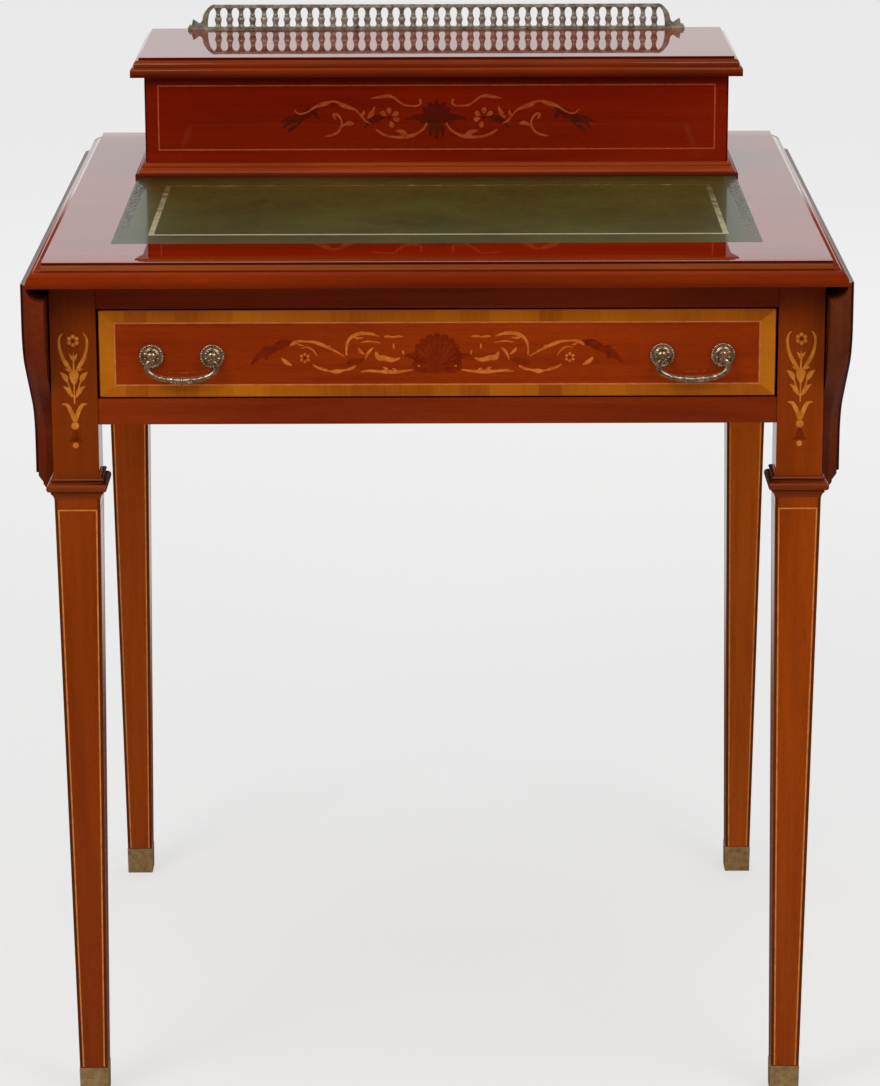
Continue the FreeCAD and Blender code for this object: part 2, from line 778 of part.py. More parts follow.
def make_leaf(side, s):
    leaf = body(f"leaf_body_{side}")
    layers = (
        ("low", leaf_inner, leaf_outer - edge_mid_drop, edge_out, edge_nose),
        ("mid", leaf_outer - edge_mid_drop, leaf_outer - edge_fillet, edge_mid_out, edge_round),
        ("face", leaf_outer - edge_fillet, leaf_outer, dim(0), None),
    )
    for name, x0, x1, spread, slant in layers:
        shape = sketch(leaf, f"leaf_{name}_{side}", "YZ_Plane", s * x0)
        trace(shape, leaf_outline(spread))
        layer = pad(leaf, f"leaf_{name}_pad_{side}", shape, x1 - x0, backward=s < 0)
        if slant is not None:
            place = s * x1.value
            upper = (axis_z - leaf_gap).value
            ease_edges(leaf, f"leaf_{name}_ease_{side}", layer, "Chamfer", slant,
                       lambda e: level(e, "x", place) and not level(e, "z", upper))
    shape = sketch(leaf, f"leaf_cove_{side}", "XZ_Plane")
    ring(shape, s * axis_x, axis_z, rule_radius + rule_gap)
    pocket(leaf, f"leaf_cove_cut_{side}", shape)
    for end_name, y in hinge_spots:
        shape = sketch(leaf, f"leaf_hinge_bed_{end_name}_{side}", "YZ_Plane",
                       s * (leaf_inner - CUT_OVER))
        oblong(shape, y - hinge_half - hinge_play, y + hinge_half + hinge_play,
               axis_z - knuckle_radius - knuckle_room - hinge_moving_wide - hinge_play, axis_z)
        pocket(leaf, f"leaf_hinge_recess_{end_name}_{side}", shape,
               hinge_plate + 2 * hinge_sink + CUT_OVER, backward=s > 0)
    keep(f"leaf_{side}", leaf)


for side_name, s in (("left", LEFT), ("right", RIGHT)):
    make_leaf(side_name, s)


# Rule-joint hinges: outer knuckles on the top's plate, middle knuckle on the leaf's plate.
def hinge_bore(name, axis, length, x, y, z):
    """Clearance hole for a hinge pin; its flats stand clear of the round pin."""
    radius = around(hinge_pin_radius + pin_play, PIN_SIDES)
    return prism(name, axis, PIN_SIDES, radius, length, x, y, z)


def make_leaf_hinges(side, s):
    fixed, moving, pins = [], [], []
    clear = knuckle_radius + knuckle_room
    mid = hinge_middle / 2
    span = hinge_half - mid - hinge_play
    pin_x = s * axis_x
    tab_x = s * (axis_x - clear)
    plate_near = s * (leaf_inner + hinge_sink)
    plate_far = s * (leaf_inner + hinge_sink + hinge_plate)
    for end_name, y in hinge_spots:
        tag = f"{end_name}_{side}"
        y0, y1 = y - hinge_half, y + hinge_half
        parts = [block(f"hinge_top_plate_{tag}", tab_x - s * hinge_fixed_wide, tab_x, y0, y1,
                       plate_low, plate_high)]
        for i, start in enumerate((y0, y1 - span)):
            parts.append(block(f"hinge_top_tab_{tag}_{i}", tab_x, pin_x, start, start + span,
                               plate_low, plate_high))
            parts.append(prism(f"hinge_top_knuckle_{tag}_{i}", "Y", PIN_SIDES, knuckle_radius, span,
                               pin_x, start, axis_z))
        bore = hinge_bore(f"hinge_top_bore_{tag}", "Y", hinge_long, pin_x, y0, axis_z)
        fixed.append(cut(f"hinge_top_{tag}", fuse(f"hinge_top_solid_{tag}", parts), bore))
        parts = [
            block(f"hinge_leaf_plate_{tag}", plate_near, plate_far, y0, y1,
                  axis_z - clear - hinge_moving_wide, axis_z - clear),
            block(f"hinge_leaf_tab_{tag}", plate_near, plate_far, y - mid, y + mid,
                  axis_z - clear, axis_z),
            prism(f"hinge_leaf_knuckle_{tag}", "Y", PIN_SIDES, knuckle_radius, hinge_middle,
                  pin_x, y - mid, axis_z)]
        bore = hinge_bore(f"hinge_leaf_bore_{tag}", "Y", hinge_long, pin_x, y0, axis_z)
        moving.append(cut(f"hinge_leaf_{tag}", fuse(f"hinge_leaf_solid_{tag}", parts), bore))
        pins.append(rod(f"hinge_pin_{tag}", "Y", hinge_pin_radius, hinge_long, pin_x, y0, axis_z))
    keep(f"hinge_top_plates_{side}", group(f"hinge_top_group_{side}", fixed))
    keep(f"hinge_leaf_plates_{side}", group(f"hinge_leaf_group_{side}", moving))
    keep(f"hinge_pins_{side}", group(f"hinge_pin_group_{side}", pins))


for side_name, s in (("left", LEFT), ("right", RIGHT)):
    make_leaf_hinges(side_name, s)

# Drawer: lipless front bored for the handle posts, sides, back and bottom.
front_box = block("drawer_front_box", -drawer_half, drawer_half, rail_front, drawer_inside,
                  drawer_low, drawer_high)
post_spots = []
for side_name, s in (("left", LEFT), ("right", RIGHT)):
    for place, t in (("inner", -1), ("outer", 1)):
        post_spots.append((f"{place}_{side_name}", s * (handle_x + t * handle_spread / 2)))
hole_radius = post_radius + post_play
holes = [prism(f"drawer_hole_{tag}", "Y", PIN_SIDES, hole_radius, drawer_front_thick,
               x, rail_front, handle_height) for tag, x in post_spots]
keep("drawer_front", cut("drawer_front_solid", front_box, fuse("drawer_holes", holes)))
side_low = bottom_rail_top + slide_gap
side_high = drawer_high - drawer_side_drop
floor_low = side_low + drawer_floor_lift
for side_name, s in (("left", LEFT), ("right", RIGHT)):
    keep(f"drawer_side_{side_name}", block(
        f"drawer_side_box_{side_name}", s * side_in, s * side_out, drawer_inside, drawer_end,
        side_low, side_high))
keep("drawer_back", block(
    "drawer_back_box", -side_in, side_in, drawer_end - drawer_side_thick, drawer_end,
    floor_low + drawer_floor, side_high - drawer_side_drop / 2))
keep("drawer_bottom", block(
    "drawer_bottom_box", -side_in, side_in, drawer_inside, drawer_end,
    floor_low, floor_low + drawer_floor))

# Handles: stepped rosettes, eyed posts bolted through the front, nuts inside, swinging bails.
RIM_SIDES = 16
NUT_SIDES = 6
rosettes, posts, nuts = [], [], []
rosette_front = rail_front - rosette_thick
boss_front = rosette_front - boss_tall
eye_y = rail_front - post_reach
for tag, x in post_spots:
    rim = prism(f"rosette_rim_{tag}", "Y", RIM_SIDES, rosette_radius, rosette_rim,
                x, rail_front - rosette_rim, handle_height)
    dish = prism(f"rosette_dish_{tag}", "Y", RIM_SIDES, rosette_dish, rosette_thick,
                 x, rosette_front, handle_height)
    boss = prism(f"rosette_boss_{tag}", "Y", PIN_SIDES, boss_radius, boss_tall + rosette_thick,
                 x, boss_front, handle_height)
    hole = prism(f"rosette_hole_{tag}", "Y", PIN_SIDES, hole_radius, boss_tall + rosette_thick,
                 x, boss_front, handle_height)
    rosettes.append(cut(f"rosette_{tag}", fuse(f"rosette_solid_{tag}", [rim, dish, boss]), hole))
    shank = prism(f"post_shank_{tag}", "Y", PIN_SIDES, post_radius,
                  post_reach + drawer_front_thick + nut_thick, x, eye_y, handle_height)
    eye = prism(f"post_eye_{tag}", "X", PIN_SIDES, eye_radius, eye_long,
                x - eye_long / 2, eye_y, handle_height)
    bore = rod(f"post_bore_{tag}", "X", bail_wire + pin_play, eye_long,
               x - eye_long / 2, eye_y, handle_height)
    posts.append(cut(f"post_{tag}", fuse(f"post_solid_{tag}", [shank, eye]), bore))
    nut = prism(f"nut_solid_{tag}", "Y", NUT_SIDES, nut_radius, nut_thick, x, drawer_inside, handle_height)
    nut_hole = prism(f"nut_hole_{tag}", "Y", PIN_SIDES, hole_radius, nut_thick,
                     x, drawer_inside, handle_height)
    nuts.append(cut(f"nut_{tag}", nut, nut_hole))
keep("handle_rosettes", group("rosette_group", rosettes))
keep("handle_posts", group("post_group", posts))
keep("handle_nuts", group("nut_group", nuts))


WIRE_SIDES = 6
EYE_SHARE = 1.5
KNOT_END = 2.1


def make_bail(side, s):
    """Swan-neck bail: pins through both eyes, small bends, wide bow and a knot at the foot."""
    bail = body(f"bail_body_{side}")
    x = s * handle_x
    half = handle_spread / 2
    path = sketch(bail, f"bail_path_{side}", "XZ_Plane", -eye_y)
    inner = half - bail_pin / EYE_SHARE
    bend = half + bail_pin
    widest = bend + bail_bend
    low = handle_height - bail_bend
    foot = low - bail_bow
    flat = widest - bail_bow
    line = [
        (x - inner, handle_height), (x - bend, handle_height),
        (x - widest, low, bail_bend, 1), (x - flat, foot, bail_bow, 1),
        (x + flat, foot), (x + widest, low, bail_bow, 1),
        (x + bend, handle_height, bail_bend, 1), (x + inner, handle_height)]
    spots = [FreeCAD.Vector(dim(p[0]).value, dim(p[1]).value, 0) for p in line]
    for i in range(1, len(line)):
        if len(line[i]) == 2:
            path.addGeometry(Part.LineSegment(spots[i - 1], spots[i]))
        else:
            path.addGeometry(arc_between(spots[i - 1], spots[i], line[i][2].value, 1))
    for i in range(1, len(line) - 1):
        path.addConstraint(Sketcher.Constraint("Coincident", i - 1, 2, i, 1))
    pin_point(path, 0, 1, line[0][0], line[0][1])
    for i in range(1, len(line)):
        pin_point(path, i - 1, 2, line[i][0], line[i][1])
        if len(line[i]) > 2:
            index = path.addConstraint(Sketcher.Constraint("Radius", i - 1, line[i][2].value))
            drive(path, f"Constraints[{index}]", line[i][2])
    section = sketch(bail, f"bail_section_{side}", "YZ_Plane", x - inner)
    polygon(section, eye_y, handle_height, bail_wire, WIRE_SIDES)
    pipe = bail.newObject("PartDesign::AdditivePipe", f"bail_pipe_{side}")
    pipe.Profile = section
    pipe.Spine = (path, [f"Edge{i}" for i in range(1, len(line))])
    ends, middle = bail_wire * KNOT_END, bail_knot_side
    taper(bail, f"bail_knot_near_{side}", "X", bail_knot, ends, middle, x - bail_knot, eye_y, foot)
    taper(bail, f"bail_knot_far_{side}", "X", bail_knot, middle, ends, x, eye_y, foot)
    keep(f"bail_{side}", bail)


for side_name, s in (("left", LEFT), ("right", RIGHT)):
    make_bail(side_name, s)

# Stationery box on the top.
box_in = box_half - box_side_thick
divider_x = box_in / 3
box_front_in = box_front_y + box_front_thick
box_back_in = box_back_y - box_side_thick
keep("box_front", block(
    "box_front_box", -box_half, box_half, box_front_y, box_front_in, top_height, box_top_z))
keep("box_back", block(
    "box_back_box", -box_half, box_half, box_back_in, box_back_y, top_height, box_top_z))
for side_name, s in (("left", LEFT), ("right", RIGHT)):
    keep(f"box_side_{side_name}", block(
        f"box_side_box_{side_name}", s * box_in, s * box_half, box_front_in, box_back_in,
        top_height, box_top_z))
keep("box_floor", block(
    "box_floor_box", -box_in, box_in, box_front_in, box_back_in, top_height, top_height + box_floor))
keep("letter_dividers", group("divider_group", [
    block(f"divider_{i}", s * divider_x - divider_thick / 2, s * divider_x + divider_thick / 2,
          box_front_in, box_back_in, top_height + box_floor, top_height + box_floor + divider_tall)
    for i, s in enumerate((LEFT, RIGHT))]))


# Base moulding: four mitred strips of one stepped profile round the box. The shares are of its
# projection and of its height.
PLINTH = 0.28
FRIEZE = 0.72
QUARTER_OUT = 0.86
QUARTER_IN = 0.44
BEAD_OUT = 0.22


def make_strip(name, half_long, turn, x, y):
    strip = body(f"strip_{name}")
    shape = sketch(strip, f"strip_profile_{name}", "YZ_Plane")
    z = top_height
    quarter = base_out * (QUARTER_OUT - QUARTER_IN)
    plinth, frieze = z + base_tall * PLINTH, z + base_tall * FRIEZE
    trace(shape, [
        (0, z), (-base_out, z), (-base_out, plinth), (-base_out * QUARTER_OUT, plinth),
        (-base_out * QUARTER_IN, plinth + quarter, quarter, -1), (-base_out * QUARTER_IN, frieze),
        (-base_out * BEAD_OUT, frieze), (-base_out * BEAD_OUT, z + base_tall), (0, z + base_tall)])
    pad(strip, f"strip_pad_{name}", shape, 2 * (half_long + base_out), both=True)
    mitre = sketch(strip, f"strip_mitre_{name}", "XY_Plane", z)
    for t in (-1, 1):
        far = half_long + base_out
        past = far + CUT_OVER
        trace(mitre, [(t * half_long, 0), (t * far, -base_out), (t * past, -base_out), (t * past, 0)])
    pocket(strip, f"strip_cut_{name}", mitre)
    strip.Placement = FreeCAD.Placement(
        FreeCAD.Vector(0, 0, 0), FreeCAD.Rotation(FreeCAD.Vector(0, 0, 1), turn))
    return put(strip, x, y, 0)


box_mid_y = (box_front_y + box_back_y) / 2
keep("base_moulding", group("moulding_group", [
    make_strip("front", box_half, 0, dim(0), box_front_y),
    make_strip("right", box_depth / 2, 90, box_half, box_mid_y),
    make_strip("back", box_half, 180, dim(0), box_back_y),
    make_strip("left", box_depth / 2, 270, -box_half, box_mid_y)]))

# Lid: stepped moulded board, plain at the hinged back edge.
lid = body("lid_body")
lid_front = box_front_y - lid_over_front
heights = (lid_base, lid_base + lid_low, lid_base + lid_low + lid_mid, lid_top)
layers = (
    ("low", heights[0], heights[1], lid_edge, lid_round_low),
    ("mid", heights[1], heights[2], lid_edge_mid, lid_round_mid),
    ("face", heights[2], heights[3], dim(0), None),
)
for name, z0, z1, spread, rounding in layers:
    shape = sketch(lid, f"lid_{name}", "XY_Plane", z0)
    oblong(shape, -lid_half - spread, lid_half + spread, lid_front - spread, box_back_y)
    layer = pad(lid, f"lid_{name}_pad", shape, z1 - z0)
    if rounding is not None:
        ease_edges(lid, f"lid_{name}_round", layer, "Fillet", rounding,
                   lambda e: level(e, "z", z1.value) and not level(e, "y", box_back_y.value))
keep("lid_board", lid)

# Lid hinges behind the box.
lid_axis_y = box_back_y + lid_knuckle_back
lid_axis_z = box_top_z + lid_gap / 2
fixed, moving, pins = [], [], []
clear = lid_knuckle + knuckle_room
plate_y = (box_back_y, box_back_y + lid_plate)
for side_name, s in (("left", LEFT), ("right", RIGHT)):
    x0, x1 = s * lid_hinge_x - lid_hinge_long / 2, s * lid_hinge_x + lid_hinge_long / 2
    part = lid_hinge_long / 3
    pieces = [block(f"lid_fixed_plate_{side_name}", x0, x1, *plate_y,
                    lid_axis_z - clear - lid_plate_tall, lid_axis_z - clear)]
    for i, start in enumerate((x0, x1 - part)):
        pieces.append(block(f"lid_fixed_tab_{side_name}_{i}", start, start + part, *plate_y,
                            lid_axis_z - clear, box_top_z))
        pieces.append(prism(f"lid_fixed_knuckle_{side_name}_{i}", "X", PIN_SIDES, lid_knuckle, part,
                            start, lid_axis_y, lid_axis_z))
    bore = hinge_bore(f"lid_fixed_bore_{side_name}", "X", lid_hinge_long, x0, lid_axis_y, lid_axis_z)
    fixed.append(cut(f"lid_fixed_{side_name}", fuse(f"lid_fixed_solid_{side_name}", pieces), bore))
    mid0, mid1 = x0 + part + hinge_play, x1 - part - hinge_play
    pieces = [
        block(f"lid_moving_plate_{side_name}", x0, x1, *plate_y,
              lid_axis_z + clear, lid_axis_z + lid_plate_tall),
        block(f"lid_moving_tab_{side_name}", mid0, mid1, *plate_y, lid_base, lid_axis_z + clear),
        prism(f"lid_moving_knuckle_{side_name}", "X", PIN_SIDES, lid_knuckle, mid1 - mid0,
              mid0, lid_axis_y, lid_axis_z)]
    bore = hinge_bore(f"lid_moving_bore_{side_name}", "X", lid_hinge_long, x0, lid_axis_y, lid_axis_z)
    moving.append(cut(f"lid_moving_{side_name}", fuse(f"lid_moving_solid_{side_name}", pieces), bore))
    pins.append(rod(f"lid_pin_{side_name}", "X", hinge_pin_radius, lid_hinge_long,
                    x0, lid_axis_y, lid_axis_z))
keep("lid_hinge_box_plates", group("lid_fixed_group", fixed))
keep("lid_hinge_lid_plates", group("lid_moving_group", moving))
keep("lid_hinge_pins", group("lid_pin_group", pins))

# Gallery: base strip, turned balusters, top rail with scrolled ends.
gallery_z = lid_top
rail_z = gallery_z + gallery_tall - gallery_rail_tall
foot_z = gallery_z + gallery_base_tall
keep("gallery_base", block(
    "gallery_base_box", -gallery_half, gallery_half,
    gallery_y - gallery_base_wide / 2, gallery_y + gallery_base_wide / 2, gallery_z, foot_z))
turned = body("baluster_body")
turned.AllowCompound = True
first_x = baluster_margin - rail_half
tall = rail_z - foot_z
BALUSTER_SHAPE = (
    (0, baluster_foot), (0.22, baluster_neck), (0.45, baluster_bulb), (0.78, baluster_neck),
    (1, baluster_foot))
shape = sketch(turned, "baluster_outline", "XZ_Plane", -gallery_y)
near_side = [(first_x + half, foot_z + tall * share) for share, half in BALUSTER_SHAPE]
far_side = [(first_x - half, foot_z + tall * share) for share, half in reversed(BALUSTER_SHAPE)]
trace(shape, near_side + far_side)
one = pad(turned, "baluster_pad", shape, baluster_thick, both=True)
doc.recompute()
row = turned.newObject("PartDesign::LinearPattern", "baluster_row")
row.Originals = [one]
row.Direction = (datum(turned, "X_Axis"), [""])
drive(row, "Length", baluster_pitch * (baluster_count - 1))
drive(row, "Occurrences", baluster_count)
turned.Tip = row
keep("gallery_balusters", turned)
crest = body("gallery_crest")
shape = sketch(crest, "crest_rail", "XZ_Plane", -(gallery_y - gallery_rail_wide / 2))
oblong(shape, -rail_half, rail_half, rail_z, rail_z + gallery_rail_tall)
pad(crest, "crest_rail_pad", shape, gallery_rail_wide, backward=True)
# Scrolled ends, points as shares of the end's length and of the drop to the base strip.
SCROLL_LAP = 2
SCROLL_SKIN = 0.3
drop = rail_z + gallery_rail_tall - foot_z
for name, s in (("left", LEFT), ("right", RIGHT)):
    shape = sketch(crest, f"crest_end_{name}", "XZ_Plane", -gallery_y)
    trace(shape, [
        (s * (rail_half - SCROLL_LAP), rail_z + gallery_rail_tall),
        (s * (rail_half - SCROLL_LAP), rail_z + SCROLL_SKIN),
        (s * (rail_half + gallery_end * 0.3), foot_z + drop * 0.42, drop * 1.1, -s),
        (s * (rail_half + gallery_end * 0.62), foot_z, drop * 0.62, s),
        (s * (rail_half + gallery_end * 0.95), foot_z),
        (s * (rail_half + gallery_end * 0.8), foot_z + drop * 0.34, drop * 0.34, s),
        (s * (rail_half + gallery_end * 0.42), foot_z + drop * 0.62, drop * 0.62, -s),
        (s * rail_half, rail_z + gallery_rail_tall, drop * 0.95, s)])
    pad(crest, f"crest_end_pad_{name}", shape, gallery_plate, both=True)
keep("gallery_rail", crest)

doc.recompute()

bad = []
for thing in doc.Objects:
    if "Invalid" in thing.State or "Error" in thing.State:
        bad.append((thing.Name, thing.State))
for name, thing in made.items():
    if thing.Shape.isNull() or not thing.Shape.isValid() or not thing.Shape.Solids:
        bad.append((name, "shape"))
if bad:
    raise SystemExit(f"not built: {bad}")
for name, thing in made.items():
    thing.Shape.exportStep(f"parts/{name}.step")
print(len(made), "sub-parts written")
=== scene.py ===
import math
import random

import bmesh
import bpy
from mathutils import Euler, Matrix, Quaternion, Vector


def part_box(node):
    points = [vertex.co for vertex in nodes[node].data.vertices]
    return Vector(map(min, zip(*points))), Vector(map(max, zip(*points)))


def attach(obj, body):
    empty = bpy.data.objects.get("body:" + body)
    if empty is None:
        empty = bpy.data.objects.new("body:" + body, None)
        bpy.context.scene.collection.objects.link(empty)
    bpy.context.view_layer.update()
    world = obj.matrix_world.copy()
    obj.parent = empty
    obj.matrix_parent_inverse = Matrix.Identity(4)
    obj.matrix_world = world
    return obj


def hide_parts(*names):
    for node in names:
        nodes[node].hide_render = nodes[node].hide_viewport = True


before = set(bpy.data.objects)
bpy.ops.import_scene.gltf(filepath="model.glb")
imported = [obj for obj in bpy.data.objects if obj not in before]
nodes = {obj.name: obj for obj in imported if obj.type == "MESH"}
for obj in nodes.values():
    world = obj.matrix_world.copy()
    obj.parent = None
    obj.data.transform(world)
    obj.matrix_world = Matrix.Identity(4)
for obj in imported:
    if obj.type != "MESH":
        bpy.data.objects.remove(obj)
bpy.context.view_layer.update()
scene = bpy.context.scene
rng = random.Random(11)

# Lengths of shapes are millimetres in the frame of the part; finishes, lamps and camera take metres.
MM = 0.001
LEFT_RIGHT = {"left": -1, "right": 1}
FLIPS = (1, -1)
X, Y, Z = 0, 1, 2
CREASE = math.radians(40)


# Shapes are gathered as points and faces, then made into one piece.
class Shape:
    def __init__(self):
        self.points = []
        self.faces = []

    def skin(self, rings, joined=False):
        """Quads from ring to ring; the ends are capped unless the last ring joins the first."""
        start = len(self.points)
        count = len(rings[0])
        for ring in rings:
            self.points.extend(tuple(point) for point in ring)
        spans = len(rings) if joined else len(rings) - 1
        for span in range(spans):
            here = start + span * count
            there = start + (span + 1) % len(rings) * count
            for k in range(count):
                m = (k + 1) % count
                self.faces.append((here + k, here + m, there + m, there + k))
        if not joined:
            end = start + (len(rings) - 1) * count
            self.faces.append(tuple(start + k for k in reversed(range(count))))
            self.faces.append(tuple(end + k for k in range(count)))


def make(name, shape, finish, body="table", stands_for=None):
    """One mesh piece that rides on a body; edges sharper than CREASE stay hard."""
    mesh = bpy.data.meshes.new(name)
    mesh.from_pydata([Vector(point) * MM for point in shape.points], [], shape.faces)
    work = bmesh.new()
    work.from_mesh(mesh)
    bmesh.ops.recalc_face_normals(work, faces=work.faces)
    work.to_mesh(mesh)
    work.free()
    mesh.polygons.foreach_set("use_smooth", [True] * len(mesh.polygons))
    mesh.set_sharp_from_angle(angle=CREASE)
    mesh.materials.append(finish)
    piece = bpy.data.objects.new(name, mesh)
    scene.collection.objects.link(piece)
    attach(piece, body)
    if stands_for:
        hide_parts(stands_for)


def box_of(node):
    """The low and high corners of a CAD node."""
    return [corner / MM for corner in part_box(node)]


# Flat art: a place turns (u, v, height above the face) into a point.
def on_front(x, y, z):
    return lambda u, v, h: (x + u, y - h, z + v)


def on_back(y):
    return lambda u, v, h: (u, y + h, v)


def on_side(x, way):
    return lambda u, v, h: (x + way * h, u, v)


def on_top(z):
    return lambda u, v, h: (u, v, z + h)


def flowing(points, steps=7):
    """A smooth line through points that carry their width as the last number."""
    last = len(points) - 1
    line = []
    for i in range(last):
        knots = [points[max(0, min(last, i + k))] for k in (-1, 0, 1, 2)]
        for step in range(steps):
            t = step / steps
            line.append(tuple(
                0.5 * (2 * b + (c - a) * t + (2 * a - 5 * b + 4 * c - d) * t * t
                       + (3 * b - a - 3 * c + d) * t ** 3)
                for a, b, c, d in zip(*knots)))
    line.append(tuple(points[last]))
    return line


def around(count, start=0.0):
    """The cosine and sine of equal steps round a circle, the first of them start steps on."""
    turn = 2 * math.pi / count
    return [(math.cos((k + start) * turn), math.sin((k + start) * turn)) for k in range(count)]


def corners(box):
    """The four corners of a rectangle (u low, v low, u high, v high), in turn."""
    return [(box[0], box[1]), (box[2], box[1]), (box[2], box[3]), (box[0], box[3])]


def inset(box, amount):
    return box[0] + amount, box[1] + amount, box[2] - amount, box[3] - amount


def scaled(point, share):
    """A point with its u times a share; -1 mirrors it."""
    return (share * point[0],) + tuple(point[1:])


SUNK = -0.25
LIFT_STEP = 0.002
THINNEST = 0.12
TINY = 1e-6
# Shares of a leaf's width at its root, at its shoulder, and at least at its neck.
LEAF_ROOT, LEAF_SHOULDER, LEAF_NECK = 0.12, 0.72, 0.66
SHOULDER_AT = 0.45


class Inlay(Shape):
    """Flat work, let into the face at its place and standing a little above it."""

    def __init__(self, place, high):
        super().__init__()
        self.place = place
        self.high = high
        self.lift = 0.0

    def next_high(self, high=None):
        """A hair more height for each veneer, so that none lies level with one it meets."""
        self.lift += LIFT_STEP
        return (high or self.high) + self.lift

    def rung(self, left, right, high):
        """A cross-section of a strip between two points."""
        spots = (*left, SUNK), (*left, high), (*right, high), (*right, SUNK)
        return [self.place(*spot) for spot in spots]

    def stroke(self, points, share=1):
        """A flat ribbon along a smooth line of (u, v, width) points, each u times a share."""
        points = [scaled(point, share) for point in points]
        line = flowing(points) if len(points) > 2 else points
        high = self.next_high()
        rungs = []
        for i, (u, v, width) in enumerate(line):
            before = line[max(i - 1, 0)]
            after = line[min(i + 1, len(line) - 1)]
            du = after[0] - before[0]
            dv = after[1] - before[1]
            half = max(width, THINNEST) / 2 / max(math.hypot(du, dv), TINY)
            rungs.append(self.rung((u - dv * half, v + du * half), (u + dv * half, v - du * half), high))
        self.skin(rungs)

    def leaf(self, root, tip, width, bow=0.0, belly=0.42, end=0.04, flip=1):
        """A leaf from root to tip; bow bends it to its left, and end is how blunt the tip is."""
        du = tip[0] - root[0]
        dv = tip[1] - root[1]

        def at(t, share):
            off = bow * 4 * t * (1 - t)
            return root[0] + du * t - dv * off, root[1] + dv * t + du * off, width * share

        neck = max(LEAF_NECK, (1 + end) / 2)
        self.stroke([at(0, LEAF_ROOT), at(belly * SHOULDER_AT, LEAF_SHOULDER), at(belly, 1.0),
                     at((1 + belly) / 2, neck), at(1, end)], flip)

    def prism(self, outline, high=None, low=SUNK):
        top = self.next_high(high)
        self.skin([[self.place(u, v, h) for u, v in outline] for h in (low, top)])

    def disc(self, u, v, radius, sides=18, high=None):
        self.prism([(u + radius * c, v + radius * s) for c, s in around(sides)], high)

    def border(self, box, wide):
        """One closed flat frame inside a rectangle."""
        high = self.next_high()
        pairs = zip(corners(box), corners(inset(box, wide)))
        self.skin([self.rung(out, inn, high) for out, inn in pairs], joined=True)


def square_ring(shape, low, high, section):
    """A moulding round a rectangle; the section is (distance out, height) pairs."""
    turns = zip(corners((*low, *high)), corners((-1, -1, 1, 1)))
    shape.skin([[(x + a * out, y + b * out, up) for out, up in section] for (x, y), (a, b) in turns],
               joined=True)


# Round work.
NEEDLE = 0.02


def lathe(shape, profile, centre, out, sides):
    """Turns (radius, height) pairs about the line through centre along out."""
    axis = Vector(out).normalized()
    across = axis.orthogonal().normalized()
    up = axis.cross(across)
    shape.skin([[Vector(centre) + axis * height + (across * c + up * s) * max(radius, NEEDLE)
                 for c, s in around(sides)]
                for radius, height in profile])


def ball(shape, centre, radius, out=(0, 0, 1), flat=1.0, sides=10, rows=7):
    profile = []
    for row in range(rows + 1):
        angle = math.pi * row / rows
        profile.append((radius * math.sin(angle), -radius * flat * math.cos(angle)))
    lathe(shape, profile, centre, out, sides)


def tube(shape, path, sides):
    """A round bar along points that carry their radius as the last number."""
    spots = [Vector(point[:3]) for point in path]
    last = len(spots) - 1
    across = (spots[1] - spots[0]).normalized().orthogonal().normalized()
    rings = []
    for i, spot in enumerate(spots):
        ahead = (spots[min(i + 1, last)] - spots[max(i - 1, 0)]).normalized()
        across = (across - ahead * across.dot(ahead)).normalized()
        up = ahead.cross(across)
        rings.append([spot + (across * c + up * s) * path[i][3] for c, s in around(sides)])
    shape.skin(rings)


# Materials.
WHITE = (1, 1, 1, 1)


def tone(red, green, blue):
    """A colour as read from a screen, made linear."""
    def linear(value):
        share = value / 255
        return share / 12.92 if share <= 0.04045 else ((share + 0.055) / 1.055) ** 2.4

    return linear(red), linear(green), linear(blue), 1.0


class Nodes:
    """The nodes of a material or of the world."""

    def __init__(self, owner):
        owner.use_nodes = True
        self.tree = owner.node_tree

    def put(self, socket, value):
        """An output is joined to the socket; a number or colour is set on it."""
        if isinstance(value, bpy.types.NodeSocket):
            self.tree.links.new(value, socket)
        else:
            socket.default_value = value

    def add(self, kind, inputs=None, **settings):
        node = self.tree.nodes.new(kind)
        for key, value in settings.items():
            setattr(node, key, value)
        for key, value in (inputs or {}).items():
            self.put(node.inputs[key], value)
        return node

    def maths(self, kind, first, second=0.0):
        return self.add("ShaderNodeMath", {0: first, 1: second}, operation=kind).outputs[0]

    def total(self, first, *others):
        """The sum of (value, weight) pairs."""
        part = self.maths("MULTIPLY", *first)
        return self.maths("ADD", part, self.total(*others)) if others else part

    def eased(self, value, start, stop, low=0.0, high=1.0):
        """A smooth step from low to high as the value goes from start to stop."""
        limits = {"From Min": start, "From Max": stop, "To Min": low, "To Max": high}
        node = self.add("ShaderNodeMapRange", {"Value": value, **limits}, interpolation_type="SMOOTHSTEP")
        return node.outputs["Result"]

    def split(self, vector):
        return self.add("ShaderNodeSeparateXYZ", {0: vector}).outputs


